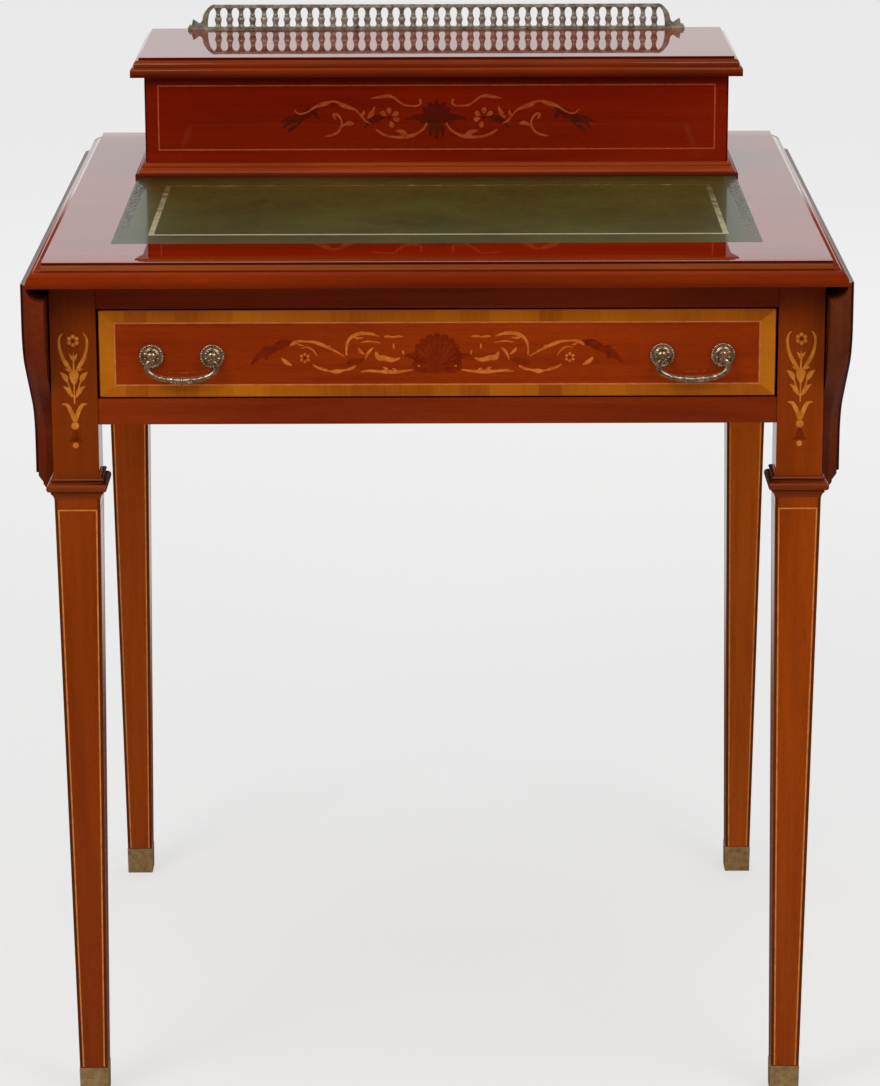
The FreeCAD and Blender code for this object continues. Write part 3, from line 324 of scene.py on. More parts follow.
class Finish(Nodes):
    """A procedural material; its patterns lie in the piece's own frame, in metres."""

    def __init__(self, name, **sockets):
        self.material = bpy.data.materials.new(name)
        super().__init__(self.material)
        self.shader = self.tree.nodes["Principled BSDF"].inputs
        for socket, value in sockets.items():
            self.feed(socket.replace("_", " "), value)
        self.place = self.add("ShaderNodeTexCoord").outputs["Object"]

    def feed(self, socket, value):
        self.put(self.shader[socket], value)

    def noise(self, scale, detail, rough, bend=0.0, vector=None):
        inputs = {"Scale": scale, "Detail": detail, "Roughness": rough, "Distortion": bend}
        return self.add("ShaderNodeTexNoise", {**inputs, "Vector": vector or self.place}).outputs[0]

    def grain(self, along, lengthwise, crosswise, detail, rough, bend=0.0):
        """Noise drawn out along one axis, with its repeats per metre lengthwise and crosswise."""
        scale = [crosswise] * 3
        scale[along] = lengthwise
        drawn = self.add("ShaderNodeMapping", {"Scale": scale, "Vector": self.place})
        return self.noise(1.0, detail, rough, bend, drawn.outputs["Vector"])

    def ramp(self, share, *stops):
        node = self.add("ShaderNodeValToRGB", {"Fac": share})
        for element, (spot, colour) in zip(node.color_ramp.elements, stops):
            element.position = spot
            element.color = colour
        return node.outputs["Color"]

    def shaded(self, share, start, stop, dark, light):
        """From a dark to a light screen colour as a pattern goes from start to stop."""
        return self.ramp(share, (start, tone(*dark)), (stop, tone(*light)))

    def paint(self, share, start, stop, dark, light):
        self.feed("Base Color", self.shaded(share, start, stop, dark, light))

    def roughen(self, share, low, high):
        self.feed("Roughness", self.ramp(share, (0.0, (low, low, low, 1)), (1.0, (high, high, high, 1))))

    def blended(self, share, first, second, blend="MIX"):
        node = self.add("ShaderNodeMix", data_type="RGBA", blend_type=blend)
        for socket, value in zip((0, 6, 7), (share, first, second)):
            self.put(node.inputs[socket], value)
        return node.outputs[2]

    def bump(self, height, strength, distance, target="Normal"):
        inputs = {"Strength": strength, "Distance": distance, "Height": height}
        self.feed(target, self.add("ShaderNodeBump", inputs).outputs["Normal"])

    def along(self, axis):
        """The distance from the middle of the part along an axis, without its sign."""
        return self.maths("ABSOLUTE", self.split(self.place)[axis])

    def zone(self, axis, start, stop):
        """0 before start, 1 after stop, in metres along an axis."""
        return self.eased(self.along(axis), start, stop)

    def facing(self, axis):
        """How far a face looks along an axis of the piece, from -1 to 1."""
        normal = self.add("ShaderNodeNewGeometry").outputs["Normal"]
        turned = self.add("ShaderNodeVectorTransform", {0: normal}, vector_type="NORMAL",
                          convert_from="WORLD", convert_to="OBJECT")
        return self.split(turned.outputs[0])[axis]

    def region(self, axis, start, stop, where):
        """The share of a zone on the field, the rim, the edges or the inner sides, or on all."""
        share = self.zone(axis, start, stop)
        if where == "all":
            return share
        if where == "edges":
            part = self.maths("LESS_THAN", self.maths("ABSOLUTE", self.facing(axis)), SQUARE_ON)
        elif where == "inner":
            inward = self.maths("MULTIPLY", self.split(self.place)[X], self.facing(X))
            part = self.maths("LESS_THAN", inward, INWARD)
        else:
            part = self.zone(Y, *TOP_PARTS[where])
        return self.maths("MULTIPLY", share, part)


# The polish on the top falls away over the last 35 mm before its front and back edges.
DISH_START = 0.290
DISH_BEND = 0.55
# How far from the middle the field of the top fades out and its rim begins, in metres.
TOP_PARTS = {"field": (0.305, 0.299), "rim": (0.3248, 0.3254)}
SQUARE_ON = 0.97
INWARD = -0.05
THIN_POLISH = 0.45
POLISH = {"Coat_Weight": 1.0, "Coat_Roughness": 0.03, "Coat_IOR": 1.55, "Specular_IOR_Level": 0.0}


def wood(name, dark, light, along, pores=0.22, tints=(), dished=False, worn=(), thin=THIN_POLISH,
         **sockets):
    """Polished timber with streaks, a broad figure and short dark pores along the grain.

    A tint is (axis, start, stop, where, colour): another shade past a distance along an axis, on all of
    the piece, on the field or the rim of the top, on edges that turn from the axis, or on inner sides
    that face the middle. worn lists such places with a thin polish; dished rounds it off to the front
    and back.
    """
    finish = Finish(name, **{**POLISH, **sockets})
    streaks = finish.grain(along, 6.0, 210.0, 5.0, 0.6, 0.25)
    figure = finish.grain(along, 3.4, 15.0, 3.0, 0.5, 0.8)
    fleck = finish.grain(along, 90.0, 2600.0, 2.0, 0.5)
    colour = finish.shaded(finish.total((streaks, 0.4), (figure, 0.6)), 0.3, 0.7, dark, light)
    veil = finish.ramp(fleck, (0.34, (1 - pores, 1 - pores, 1 - pores, 1)), (0.46, WHITE))
    colour = finish.blended(1.0, colour, veil, "MULTIPLY")
    for *spot, shade in tints:
        wash = finish.blended(finish.region(*spot), WHITE, (*shade, 1))
        colour = finish.blended(1.0, colour, wash, "MULTIPLY")
    finish.feed("Base Color", colour)
    finish.roughen(figure, 0.34, 0.48)
    finish.bump(fleck, 0.06, 0.0004)
    if worn:
        thick = finish.shader["Coat Weight"].default_value
        for spot in worn:
            lost = finish.maths("MULTIPLY", finish.region(*spot), 1 - thin)
            thick = finish.maths("MULTIPLY", finish.maths("SUBTRACT", 1.0, lost), thick)
        finish.feed("Coat Weight", thick)
    if dished:
        past = finish.maths("MAXIMUM", finish.maths("SUBTRACT", finish.along(Y), DISH_START), 0.0)
        drop = finish.maths("MULTIPLY", finish.maths("POWER", past, 2.0), -DISH_BEND)
        finish.bump(drop, 1.0, 1.0, "Coat Normal")
    else:
        finish.bump(finish.noise(26.0, 2.0, 0.55), 0.02, 0.0006, "Coat Normal")
    return finish.material


BLOCK_LONG = 0.022


def banding(name, dark, light, run, along):
    """Crossbanding: short pieces of veneer side by side, the grain across the band."""
    finish = Finish(name, **POLISH)
    inputs = {"W": finish.split(finish.place)[run], "Scale": 1 / BLOCK_LONG}
    blocks = finish.add("ShaderNodeTexVoronoi", inputs, voronoi_dimensions="1D")
    block = finish.add("ShaderNodeSeparateColor", {0: blocks.outputs["Color"]}).outputs[0]
    streaks = finish.grain(along, 14.0, 420.0, 4.0, 0.6, 0.2)
    cloud = finish.noise(16.0, 3.0, 0.5)
    mixed = finish.total((block, 0.24), (streaks, 0.22), (cloud, 0.54))
    finish.paint(mixed, 0.22, 0.78, dark, light)
    finish.roughen(streaks, 0.3, 0.45)
    return finish.material


def marquetry(name, dark, light):
    """Small veneers with sand-shaded parts, so each leaf goes from light to dark."""
    finish = Finish(name, **POLISH)
    shading = finish.noise(150.0, 3.0, 0.55)
    lines = finish.grain(Z, 900.0, 420.0, 2.0, 0.5)
    mixed = finish.total((shading, 0.7), (lines, 0.3))
    finish.paint(mixed, 0.34, 0.62, dark, light)
    finish.roughen(shading, 0.3, 0.45)
    return finish.material


def metal(name, dark, light, smooth, rough, metallic):
    """Aged metal: clean high spots in a browner skin of old lacquer, with fine scratches."""
    finish = Finish(name, Metallic=metallic)
    patina = finish.noise(170.0, 5.0, 0.65)
    specks = finish.noise(900.0, 3.0, 0.6)
    mixed = finish.total((patina, 0.7), (specks, 0.3))
    finish.paint(mixed, 0.34, 0.62, dark, light)
    finish.roughen(patina, rough, smooth)
    finish.bump(specks, 0.12, 0.0003)
    return finish.material


def hide(name, dark, light, shine=0.3):
    """Skiver leather: fine pebbled grain, soft shine and some rubbing."""
    finish = Finish(name, Specular_IOR_Level=0.12, Coat_Weight=shine, Coat_Roughness=0.1)
    rubbing = finish.noise(7.0, 4.0, 0.6)
    mottle = finish.noise(160.0, 3.0, 0.6)
    mixed = finish.total((rubbing, 0.65), (mottle, 0.35))
    finish.paint(mixed, 0.35, 0.66, dark, light)
    finish.roughen(mixed, 0.36, 0.5)
    pebbles = finish.add("ShaderNodeTexVoronoi", {"Vector": finish.place, "Scale": 1100.0})
    finish.bump(pebbles.outputs["Distance"], 0.2, 0.0004)
    return finish.material


def gilding(name, dark, light):
    """Worn gold on leather: rubbed through in places, and more so towards the back."""
    finish = Finish(name, Specular_IOR_Level=0.25, Metallic=0.2)
    wear = finish.noise(90.0, 5.0, 0.65)
    grain = finish.noise(420.0, 3.0, 0.6)
    kept = finish.total((finish.split(finish.place)[Y], -1.1), (wear, 0.6), (grain, 0.25))
    finish.paint(kept, 0.40, 0.62, dark, light)
    finish.roughen(grain, 0.4, 0.55)
    return finish.material


# Places with another shade or a thin polish, in metres; a shade ends with what multiplies the colour.
# The head of each front leg is darker: painted shade under the top, and darker wood.
LEG_HEAD_PAINTED_SHADE = (Z, 0.690, 0.738, "all", (0.62, 0.46, 0.36))
# Painted shade on each front leg above the collar, deeper on the left.
BLOCK_LEFT_PAINTED_SHADE = (Z, 0.566, 0.572, "all", (0.78, 0.80, 0.8))
BLOCK_RIGHT_PAINTED_SHADE = (Z, 0.566, 0.572, "all", (0.88, 0.86, 0.9))
BOX_ARRIS = (X, 0.2684, 0.2694, "edges", (0.36, 0.3, 0.5))
TOP_FIELD = (Z, 0.7592, 0.7596, "field", (0.8, 0.38, 0.26))
# Painted highlight: a paler, tan band on the moulded rim of the top above its lower quirk.
TOP_STEP_PAINTED_HIGHLIGHT = (Z, 0.7541, 0.7547, "rim", (0.98, 1.9, 4.4))
# Painted shade, darker towards the foot of the top's fascia and beneath it.
FASCIA_FOOT_PAINTED_SHADE = (Z, 0.7475, 0.7400, "all", (0.62, 0.56, 0.6))
# Painted shade along the outer edge of each leaf.
LEAF_RIM_PAINTED_SHADE = (X, 0.3448, 0.3462, "edges", (0.34, 0.3, 0.3))
# Painted shade, darker towards the foot of the lid's edge.
LID_FOOT_PAINTED_SHADE = (Z, 0.8595, 0.8545, "all", (0.5, 0.3, 0.24))
LID_FIELD = (Z, 0.8706, 0.8712, "all", (0.88, 0.58, 0.46))
# Painted shade on the plinth of the moulding under the box.
PLINTH_PAINTED_SHADE = (Z, 0.7646, 0.7634, "all", (0.34, 0.22, 0.17))
COLLAR_INNER = (Z, 0.50, 0.52, "inner")
# Painted shade on the inner sides of the collars, which face the middle.
COLLAR_INNER_PAINTED_SHADE = (*COLLAR_INNER, (0.3, 0.26, 0.3))
TOP_WORN = (Y, 0.3249, 0.3256, "all")
LID_WORN = (Y, 0.0758, 0.0751, "all")

# Finishes, each from a dark to a light screen colour.
mahogany = [wood("mahogany_" + "xy"[axis], (96, 28, 4), (132, 48, 8), axis) for axis in (X, Y)]
# One leg finish in four copies, lighter on the right and at the back: painted light.
leg_woods_painted_light = {
    "front_left": wood("mahogany_leg_left", (102, 37, 4), (130, 52, 7), Z, tints=[LEG_HEAD_PAINTED_SHADE, BLOCK_LEFT_PAINTED_SHADE]),
    "front_right": wood("mahogany_leg_right", (110, 41, 4), (142, 59, 7), Z,
                        tints=[LEG_HEAD_PAINTED_SHADE, BLOCK_RIGHT_PAINTED_SHADE]),
    "back_left": wood("mahogany_leg_back_left", (116, 44, 3), (146, 62, 6), Z),
    "back_right": wood("mahogany_leg_back_right", (128, 52, 3), (160, 74, 6), Z),
}
leg_edge_wood = wood("mahogany_leg_edge", (66, 26, 3), (90, 38, 5), Z)
front_wood = wood("mahogany_drawer", (110, 32, 3), (142, 50, 6), X)
box_wood = wood("mahogany_box", (99, 13, 0), (128, 27, 2), X, tints=[BOX_ARRIS], Coat_Weight=0.55)
rail_wood = wood("mahogany_rail", (92, 26, 5), (126, 46, 9), X)
# The top rail's finish is darker: painted shade under the overhang of the top.
top_rail_painted_shade_wood = wood("mahogany_top_rail_painted_shade", (78, 18, 3), (106, 34, 6), X)
top_wood = wood("mahogany_top", (96, 27, 4), (132, 45, 6), X, tints=[TOP_FIELD, TOP_STEP_PAINTED_HIGHLIGHT, FASCIA_FOOT_PAINTED_SHADE],
                dished=True, worn=[TOP_WORN])
lid_wood = wood("mahogany_lid", (92, 29, 6), (126, 47, 12), X, tints=[LID_FOOT_PAINTED_SHADE, LID_FIELD],
                worn=[LID_WORN])
moulding_wood = wood("mahogany_moulding", (108, 34, 8), (146, 58, 18), X, tints=[PLINTH_PAINTED_SHADE], Coat_Weight=0.5)
# Dark finishes for strips in the quirks: painted shade in these recesses, with dark old polish.
deep_quirk_painted_shade = wood("mahogany_quirk_painted_shade", (52, 12, 2), (76, 22, 4), X, Coat_Weight=THIN_POLISH)
soft_quirk_painted_shade = wood("mahogany_soft_quirk_painted_shade", (84, 22, 2), (110, 34, 5), X, Coat_Weight=THIN_POLISH)
collar_wood = wood("mahogany_collar", (90, 32, 5), (118, 48, 11), X, tints=[COLLAR_INNER_PAINTED_SHADE],
                   worn=[COLLAR_INNER], thin=0.08, Coat_Weight=0.9)
# Two copies of the leaf finish, the right one browner and paler: painted light.
leaf_woods_painted_light = {
    "left": wood("mahogany_leaf_left", (78, 24, 8), (106, 40, 16), Y, tints=[LEAF_RIM_PAINTED_SHADE], Coat_Weight=0.6),
    "right": wood("mahogany_leaf_right", (74, 29, 13), (100, 47, 25), Y, tints=[LEAF_RIM_PAINTED_SHADE],
                  Coat_Weight=0.6),
}
plain_wood = [wood("secondary_" + "xy"[axis], (176, 132, 84), (212, 172, 120), axis, pores=0.2,
                   Coat_Weight=0.0, Specular_IOR_Level=0.3) for axis in (X, Y)]
band_across = banding("crossband_across", (122, 52, 6), (166, 95, 15), X, Z)
band_up = banding("crossband_up", (140, 74, 8), (176, 106, 18), Z, X)
leg_boxwood = marquetry("boxwood_leg", (152, 84, 24), (188, 116, 44))
drawer_boxwood = marquetry("boxwood_drawer", (150, 70, 20), (184, 102, 40))
box_boxwood = marquetry("boxwood_box", (128, 46, 16), (158, 72, 32))
leg_line_wood = marquetry("boxwood_leg_line", (164, 90, 36), (190, 116, 56))
drawer_line_wood = marquetry("boxwood_drawer_line", (160, 82, 36), (182, 102, 54))
box_line_wood = marquetry("boxwood_box_line", (142, 58, 30), (166, 78, 44))
leg_shade_wood = marquetry("shaded_leg", (84, 26, 4), (104, 36, 6))
drawer_ground_wood = marquetry("shell_ground", (98, 26, 3), (118, 38, 5))
drawer_shade_wood = marquetry("shaded_drawer", (90, 20, 2), (110, 32, 5))
box_shade_wood = marquetry("shaded_box", (64, 9, 0), (84, 15, 1))
brass = metal("antique_brass", (72, 50, 33), (226, 196, 164), 0.15, 0.34, 0.85)
gallery_brass = metal("gallery_brass", (86, 79, 68), (184, 176, 160), 0.28, 0.44, 0.55)
hinge_brass = metal("hinge_brass", (124, 100, 62), (168, 140, 92), 0.28, 0.42, 0.85)
cap_brass = metal("cap_brass", (122, 94, 56), (172, 140, 92), 0.34, 0.5, 0.4)
steel = metal("steel", (120, 120, 118), (190, 190, 188), 0.25, 0.4, 1.0)
leather = hide("green_leather", (36, 43, 13), (63, 69, 27))
blind_tooling = hide("blind_tooling", (42, 42, 24), (80, 76, 54))
# Two copies of the blind line finish, the right one lighter and glossier: painted light.
blind_lines_painted_light = {
    "left": hide("blind_line_left", (40, 38, 30), (68, 64, 54), shine=0.15),
    "right": hide("blind_line_right", (46, 43, 33), (76, 71, 58), shine=0.27),
}
gilt = gilding("gilt_tooling", (78, 70, 38), (156, 148, 114))

# The CAD nodes that stay keep their shape; a small bevel between two welds eases their arrises.
WELD_REACH = 0.00002
ARRIS_ANGLE = math.radians(25)


def dress(finish, *names, ease=0.5):
    for name in names:
        piece = nodes[name]
        for held in piece.material_slots:
            held.material = finish
        if ease:
            piece.modifiers.new("weld", "WELD").merge_threshold = WELD_REACH
            soft = piece.modifiers.new("ease", "BEVEL")
            soft.width = ease * MM
            soft.segments = 2
            soft.limit_method = "ANGLE"
            soft.angle_limit = ARRIS_ANGLE
            soft.harden_normals = False
            soft.use_clamp_overlap = True
            piece.modifiers.new("close", "WELD").merge_threshold = WELD_REACH


for end_side, finish in leg_woods_painted_light.items():
    dress(finish, f"leg_{end_side}", ease=0.7)
for side, finish in leaf_woods_painted_light.items():
    dress(finish, f"leaf_{side}", ease=0.8)
    dress(plain_wood[Y], f"bracket_rails_{side}", f"leaf_bracket_{side}", f"drawer_runner_{side}")
    dress(plain_wood[Y], f"drawer_side_{side}", ease=0.6)
    dress(steel, f"bracket_pin_{side}", f"hinge_pins_{side}", ease=0)
    dress(steel, f"hinge_top_plates_{side}", f"hinge_leaf_plates_{side}", ease=0.2)
dress(plain_wood[X], "drawer_stops", "drawer_back", "drawer_bottom", "box_floor")
dress(plain_wood[Y], "drawer_kickers", "letter_dividers")
dress(mahogany[X], "back_apron", "box_back")
dress(mahogany[Y], "side_apron_left", "side_apron_right")
dress(box_wood, "box_front", "box_side_left", "box_side_right")
dress(hinge_brass, "lid_hinge_box_plates", "lid_hinge_lid_plates", ease=0.25)
dress(hinge_brass, "lid_hinge_pins", ease=0)
dress(cap_brass, "foot_caps", ease=0.4)
dress(top_rail_painted_shade_wood, "front_top_rail")
dress(rail_wood, "front_bottom_rail")
dress(top_wood, "table_top", ease=0.4)
dress(leather, "writing_leather", ease=0.3)
dress(front_wood, "drawer_front", ease=1.1)
dress(brass, "handle_nuts", ease=0.2)
dress(lid_wood, "lid_board")

# Painted shade in the quirks of the mouldings, with dark old polish: dark strips, each (depth, how far out,
# low, high, finish).
QUIRK_HIGH = 0.06
TOP_QUIRKS = [("deep", 0.0, 757.9, 759.5, deep_quirk_painted_shade), ("soft", 7.0, 753.2, 754.5, soft_quirk_painted_shade)]
LID_QUIRKS = [("deep", 0.0, 869.1, 870.9, deep_quirk_painted_shade), ("soft", 4.6, 862.5, 863.3, soft_quirk_painted_shade)]
top_low, top_high = box_of("table_top")
lid_low, lid_high = box_of("lid_board")
TOP_EDGE, LID_EDGE = 12.0, 7.7
TOP_ARRIS = 330.0
for depth, out, low, high, finish in TOP_QUIRKS:
    strip = corners((-TOP_ARRIS, low, TOP_ARRIS, high))
    quirks = Inlay(on_front(0.0, top_low.y + TOP_EDGE - out, 0.0), QUIRK_HIGH)
    quirks.prism(strip)
    quirks.place = on_back(top_high.y - TOP_EDGE + out)
    quirks.prism(strip)
    make(f"table_top_quirk_painted_shade_{depth}", quirks, finish)
for depth, out, low, high, finish in LID_QUIRKS:
    half = lid_high.x - LID_EDGE + out
    front = lid_low.y + LID_EDGE - out
    quirks = Inlay(on_front(0.0, front, 0.0), QUIRK_HIGH)
    quirks.prism(corners((-half, low, half, high)))
    for way in LEFT_RIGHT.values():
        quirks.place = on_side(way * half, way)
        quirks.prism(corners((front, low, lid_high.y, high)))
    make(f"lid_quirk_painted_shade_{depth}", quirks, finish, "lid")

# Heights of the veneers above the wood they are let into.
BAND_HIGH = 0.05
DARK_HIGH = 0.09
LIGHT_HIGH = 0.12
LINE_HIGH = 0.14
EYE_HIGH = 0.16

# Drawer front: crossbanding round the edge, a boxwood line, and scrolling marquetry.
drawer_low, drawer_high = box_of("drawer_front")
drawer_face = on_front(0.0, drawer_low.y, 0.0)
DRAWER_LINE = (-272.0, 650.3, 272.0, 703.8)
LINE_WIDE = 1.3
BAND_MARGIN = 0.6

across, upright = Inlay(drawer_face, BAND_HIGH), Inlay(drawer_face, BAND_HIGH)
band_out = corners(inset((drawer_low.x, drawer_low.z, drawer_high.x, drawer_high.z), BAND_MARGIN))
band_in = corners(DRAWER_LINE)
for k in range(4):
    m = (k + 1) % 4
    band = upright if k % 2 else across
    band.prism([band_out[k], band_out[m], band_in[m], band_in[k]])
make("drawer_crossband_long", across, band_across, "drawer")
make("drawer_crossband_ends", upright, band_up, "drawer")
lines = Inlay(drawer_face, LINE_HIGH)
lines.border(inset(DRAWER_LINE, -LINE_WIDE / 2), LINE_WIDE)
make("drawer_stringing", lines, drawer_line_wood, "drawer")

PETAL_FROM = 0.36


def flower(light, dark, u, v, radius, angles, width, heart):
    """Blunt petals at the given angles round a dark heart."""
    for angle in angles:
        du = radius * math.cos(math.radians(angle))
        dv = radius * math.sin(math.radians(angle))
        root = (u + PETAL_FROM * du, v + PETAL_FROM * dv)
        light.leaf(root, (u + du, v + dv), width, belly=0.62, end=0.5)
    dark.disc(u, v, heart, sides=14, high=EYE_HIGH)


def both_sides(light, dark, strokes, light_leaves, dark_leaves, blossom, radius, petals, width, heart):
    """The right half of a scroll pattern and its mirror image."""
    for flip in FLIPS:
        for points in strokes:
            light.stroke(points, flip)
        for leaf in light_leaves:
            light.leaf(*leaf, bow=0.1, belly=0.4, end=0.2, flip=flip)
        for leaf in dark_leaves:
            dark.leaf(*leaf, bow=0.12, belly=0.45, end=0.2, flip=flip)
        angles = [angle if flip > 0 else 180 - angle for angle in petals]
        flower(light, dark, *scaled(blossom, flip), radius, angles, width, heart)


# The right half, from the middle of the panel: strokes of (u, v, width), leaves of (root, tip, width).
DRAWER_LIGHT = [
    [(124.2, 6.8, 1.6), (120.2, 9.2, 3), (116.3, 10.5, 2.2), (111.8, 10.2, 1.5), (105, 9.9, 2.2),
     (99.4, 8.2, 3), (92.7, 5.2, 2.4), (84.8, 1.2, 1.6), (78, -2.8, 0.9)],
    [(76.6, -1.8, 1.2), (76.6, 4.6, 1.9), (75.4, 9.8, 2.2), (72.4, 13.8, 2.7), (66.9, 16.6, 3.3),
     (61.3, 17.1, 2.9), (55.6, 16.6, 2.3), (48.9, 14.4, 0.9)],
    [(45, 14.2, 1.4), (41.2, 14.4, 2), (37.4, 13.9, 1.3), (33.4, 14.4, 1.9), (28.6, 14.3, 0.9)],
    [(36.6, 8.4, 0.9), (36.9, 6.2, 1.5), (36.4, 3.8, 0.7)],
    [(28.7, 2.6, 0.8), (28.9, 0.8, 1.6), (28.3, -1, 0.8)],
    [(64, 9.2, 0.7), (57.9, 10.2, 1.4), (47.8, 9.1, 0.7)],
    [(51.8, 1, 1.8), (49.6, -3.6, 4.4), (44.4, -4.3, 4.4), (37.7, -5.9, 3.5), (31.4, -4.4, 1.2)],
    [(64.6, -16.1, 0.7), (57.9, -15.2, 2.4), (50, -15.7, 2.2), (43.3, -16.1, 3.3),
     (35.4, -16.3, 2.8), (27.6, -15.5, 2), (20.6, -14.4, 0.9)],
    [(105, -9.6, 0.9), (101.1, -12.3, 2.1), (94.9, -14.3, 2.3), (90.5, -15.4, 1.2),
     (85.4, -15.8, 3.8), (79.2, -14.8, 1.6), (73.6, -13.5, 2.3), (69, -11.2, 1.8)],
    [(131.4, -3.8, 1), (129.6, -6, 3), (126.8, -8.3, 3.4), (122.8, -10.4, 0.9)],
    [(114.6, 4.4, 0.5), (110.1, 5.4, 1.2), (105, 2.9, 1.2), (101.3, -2.2, 0.6)],
]
DRAWER_LIGHT_LEAVES = [
    ((66.9, 4.9), (61, -1), 2.8), ((53.8, 4.8), (60.6, -5.8), 2.4), ((41.4, -15.6), (46, -12.2), 2.6),
    ((34, -15.8), (38.2, -13.2), 2), ((70.6, 13.8), (62.4, 13.6), 2), ((96, 6.4), (89.6, 6.6), 2),
    ((118.4, 8.6), (112.6, 7), 1.8),
]
DRAWER_DARK_LEAVES = [
    ((121, 9), (143, 0), 7.4), ((131, 4.4), (157, -9.4), 7.2), ((138, 0.4), (147, 5.4), 4.2),
    ((75.4, -5.6), (61.6, -5.2), 5.2), ((78, -8.6), (70, -6.6), 3.4), ((143, -5.6), (151, -1.6), 4),
]
DRAWER_FLOWER = (111.8, -4.0)
SIX_PETALS = [k * 60 + 30 for k in range(6)]
DRAWER_MID = 677.4

art_face = on_front(0.0, drawer_low.y, DRAWER_MID)
light, dark = Inlay(art_face, LIGHT_HIGH), Inlay(art_face, DARK_HIGH)
both_sides(light, dark, DRAWER_LIGHT, DRAWER_LIGHT_LEAVES, DRAWER_DARK_LEAVES, DRAWER_FLOWER,
           radius=4.4, petals=SIX_PETALS, width=2.5, heart=1.3)
# A scallop shell in the middle: a lobed rim, ribs from the foot and two volutes below.
SHELL_MID, SHELL_FOOT = (0.0, -2.6), (0.0, -12.5)
SHELL_GROUND = 15.6
RIM_LOBES, RIM_REACH, RIM_WIDEN = 11, 16.4, 1.06
RIM_FROM, RIM_SWEEP = -16, 212
LOBE = 3.3
RIB_LONG, RIB_WIDE = 0.86, 1.7
VOLUTE = [(2, -13, 2.4), (9, -14.6, 4.4), (16, -13.6, 4.6), (19.6, -9.6, 3), (16.6, -7.6, 1.6)]
VOLUTE_LEAF = ((18.0, -6.0), (27.4, -2.6), 4.4)
VOLUTE_EYE = (15.6, -11.2, 0.9)
for k in range(RIM_LOBES):
    angle = math.radians(RIM_FROM + RIM_SWEEP * k / (RIM_LOBES - 1))
    lobe_u = SHELL_MID[0] + RIM_WIDEN * RIM_REACH * math.cos(angle)
    lobe_v = SHELL_MID[1] + RIM_REACH * math.sin(angle)
    dark.disc(lobe_u, lobe_v, LOBE)
    neck = (lobe_u * RIB_LONG, SHELL_MID[1] + (lobe_v - SHELL_MID[1]) * RIB_LONG)
    dark.leaf(SHELL_FOOT, neck, RIB_WIDE, belly=0.7, end=0.6)
for flip in FLIPS:
    dark.stroke(VOLUTE, flip)
    dark.leaf(*VOLUTE_LEAF, bow=0.2, belly=0.4, end=0.3, flip=flip)
    light.disc(*scaled(VOLUTE_EYE, flip), sides=12)
dark.disc(*SHELL_FOOT, radius=3.6)
ground = Inlay(art_face, BAND_HIGH)
ground.disc(*SHELL_MID, SHELL_GROUND, sides=36)
make("drawer_shell_ground", ground, drawer_ground_wood, "drawer")
make("drawer_marquetry_light", light, drawer_boxwood, "drawer")
make("drawer_marquetry_dark", dark, drawer_shade_wood, "drawer")

# Moulding under the box: plinth, ovolo and bead, as distance out and height above the top.
BASE = [(-0.3, 0), (9.5, 0), (9.5, 2.6), (9.3, 3.2), (8.7, 3.7), (7.9, 3.9), (6.9, 3.9), (6.6, 4.3),
        (6.4, 5.2), (5.9, 6.2), (5, 7.1), (4, 7.6), (3.1, 7.7), (2.9, 8.2), (3.3, 9), (3.3, 10.2),
        (2.9, 11.2), (2.2, 12), (1.2, 12.5), (-0.3, 12.5)]
PLINTH_OUT = 9.5
base_low, base_high = box_of("base_moulding")
plan = Vector((PLINTH_OUT, PLINTH_OUT))
ring = Shape()
square_ring(ring, base_low.xy + plan, base_high.xy - plan, [(out, base_low.z + up) for out, up in BASE])
make("base_moulding_run", ring, moulding_wood, stands_for="base_moulding")

# Box front: a boxwood line and the same kind of scrolls round a palmette.
box_y = box_of("box_front")[0].y
BOX_MID = 814.3
BOX_LINE = (-258.0, 784.7, 258.0, 844.5)
BOX_LINE_WIDE = 1.24
lines = Inlay(on_front(0.0, box_y, 0.0), LINE_HIGH)
lines.border(inset(BOX_LINE, -BOX_LINE_WIDE / 2), BOX_LINE_WIDE)
make("box_stringing", lines, box_line_wood)

BOX_LIGHT = [
    [(132.2, 7.6, 0.8), (127.6, 3.8, 1.6), (120, 5.4, 1.6), (114, 9.4, 2), (108, 12, 3.6),
     (103, 13.2, 4), (97, 15.2, 2), (92, 14.6, 2.2), (87, 11.8, 4.2), (81, 9.6, 3.4),
     (75, 7.2, 1.7), (70, 1.9, 1.6), (66, -3, 2.1), (61, -5.6, 0.7)],
    [(61, 17.8, 0.6), (53, 19.3, 2.6), (45, 20.2, 3), (40, 18.9, 2.2), (35, 15, 1.8),
     (30, 11.9, 1.8), (24, 11, 1.6), (18.4, 11, 1.8), (14.6, 13.4, 2.2), (15.6, 17.6, 2)],
    [(96.4, 1.4, 1.4), (94.6, 3.4, 2.8), (90.6, 1.6, 2), (88, -3.4, 1.7), (88.6, -8.7, 1.9),
     (92, -13.6, 2.2), (98, -16.3, 2.2), (104, -17.3, 0.7)],
    [(88.2, -8.8, 1), (85, -6.3, 2.2), (81, -5.2, 4.2), (76.8, -5.7, 0.8)],
    [(56.4, -11, 1.8), (51, -14.7, 2.6), (45, -17.2, 2.4), (37, -18.3, 2.6), (30, -18, 3.4),
     (23, -16.8, 3.4), (17, -14.2, 2.2), (12, -10.2, 2), (9, -4.8, 2.2)],
]
BOX_LIGHT_LEAVES = [
    ((64.2, -0.4), (57.6, 10.6), 4.2), ((69.6, 1.8), (67.4, 7.4), 3), ((27, -16.9), (38.4, -12.2), 4.6),
    ((95.4, 2.4), (93.4, -1.6), 2.4),
]
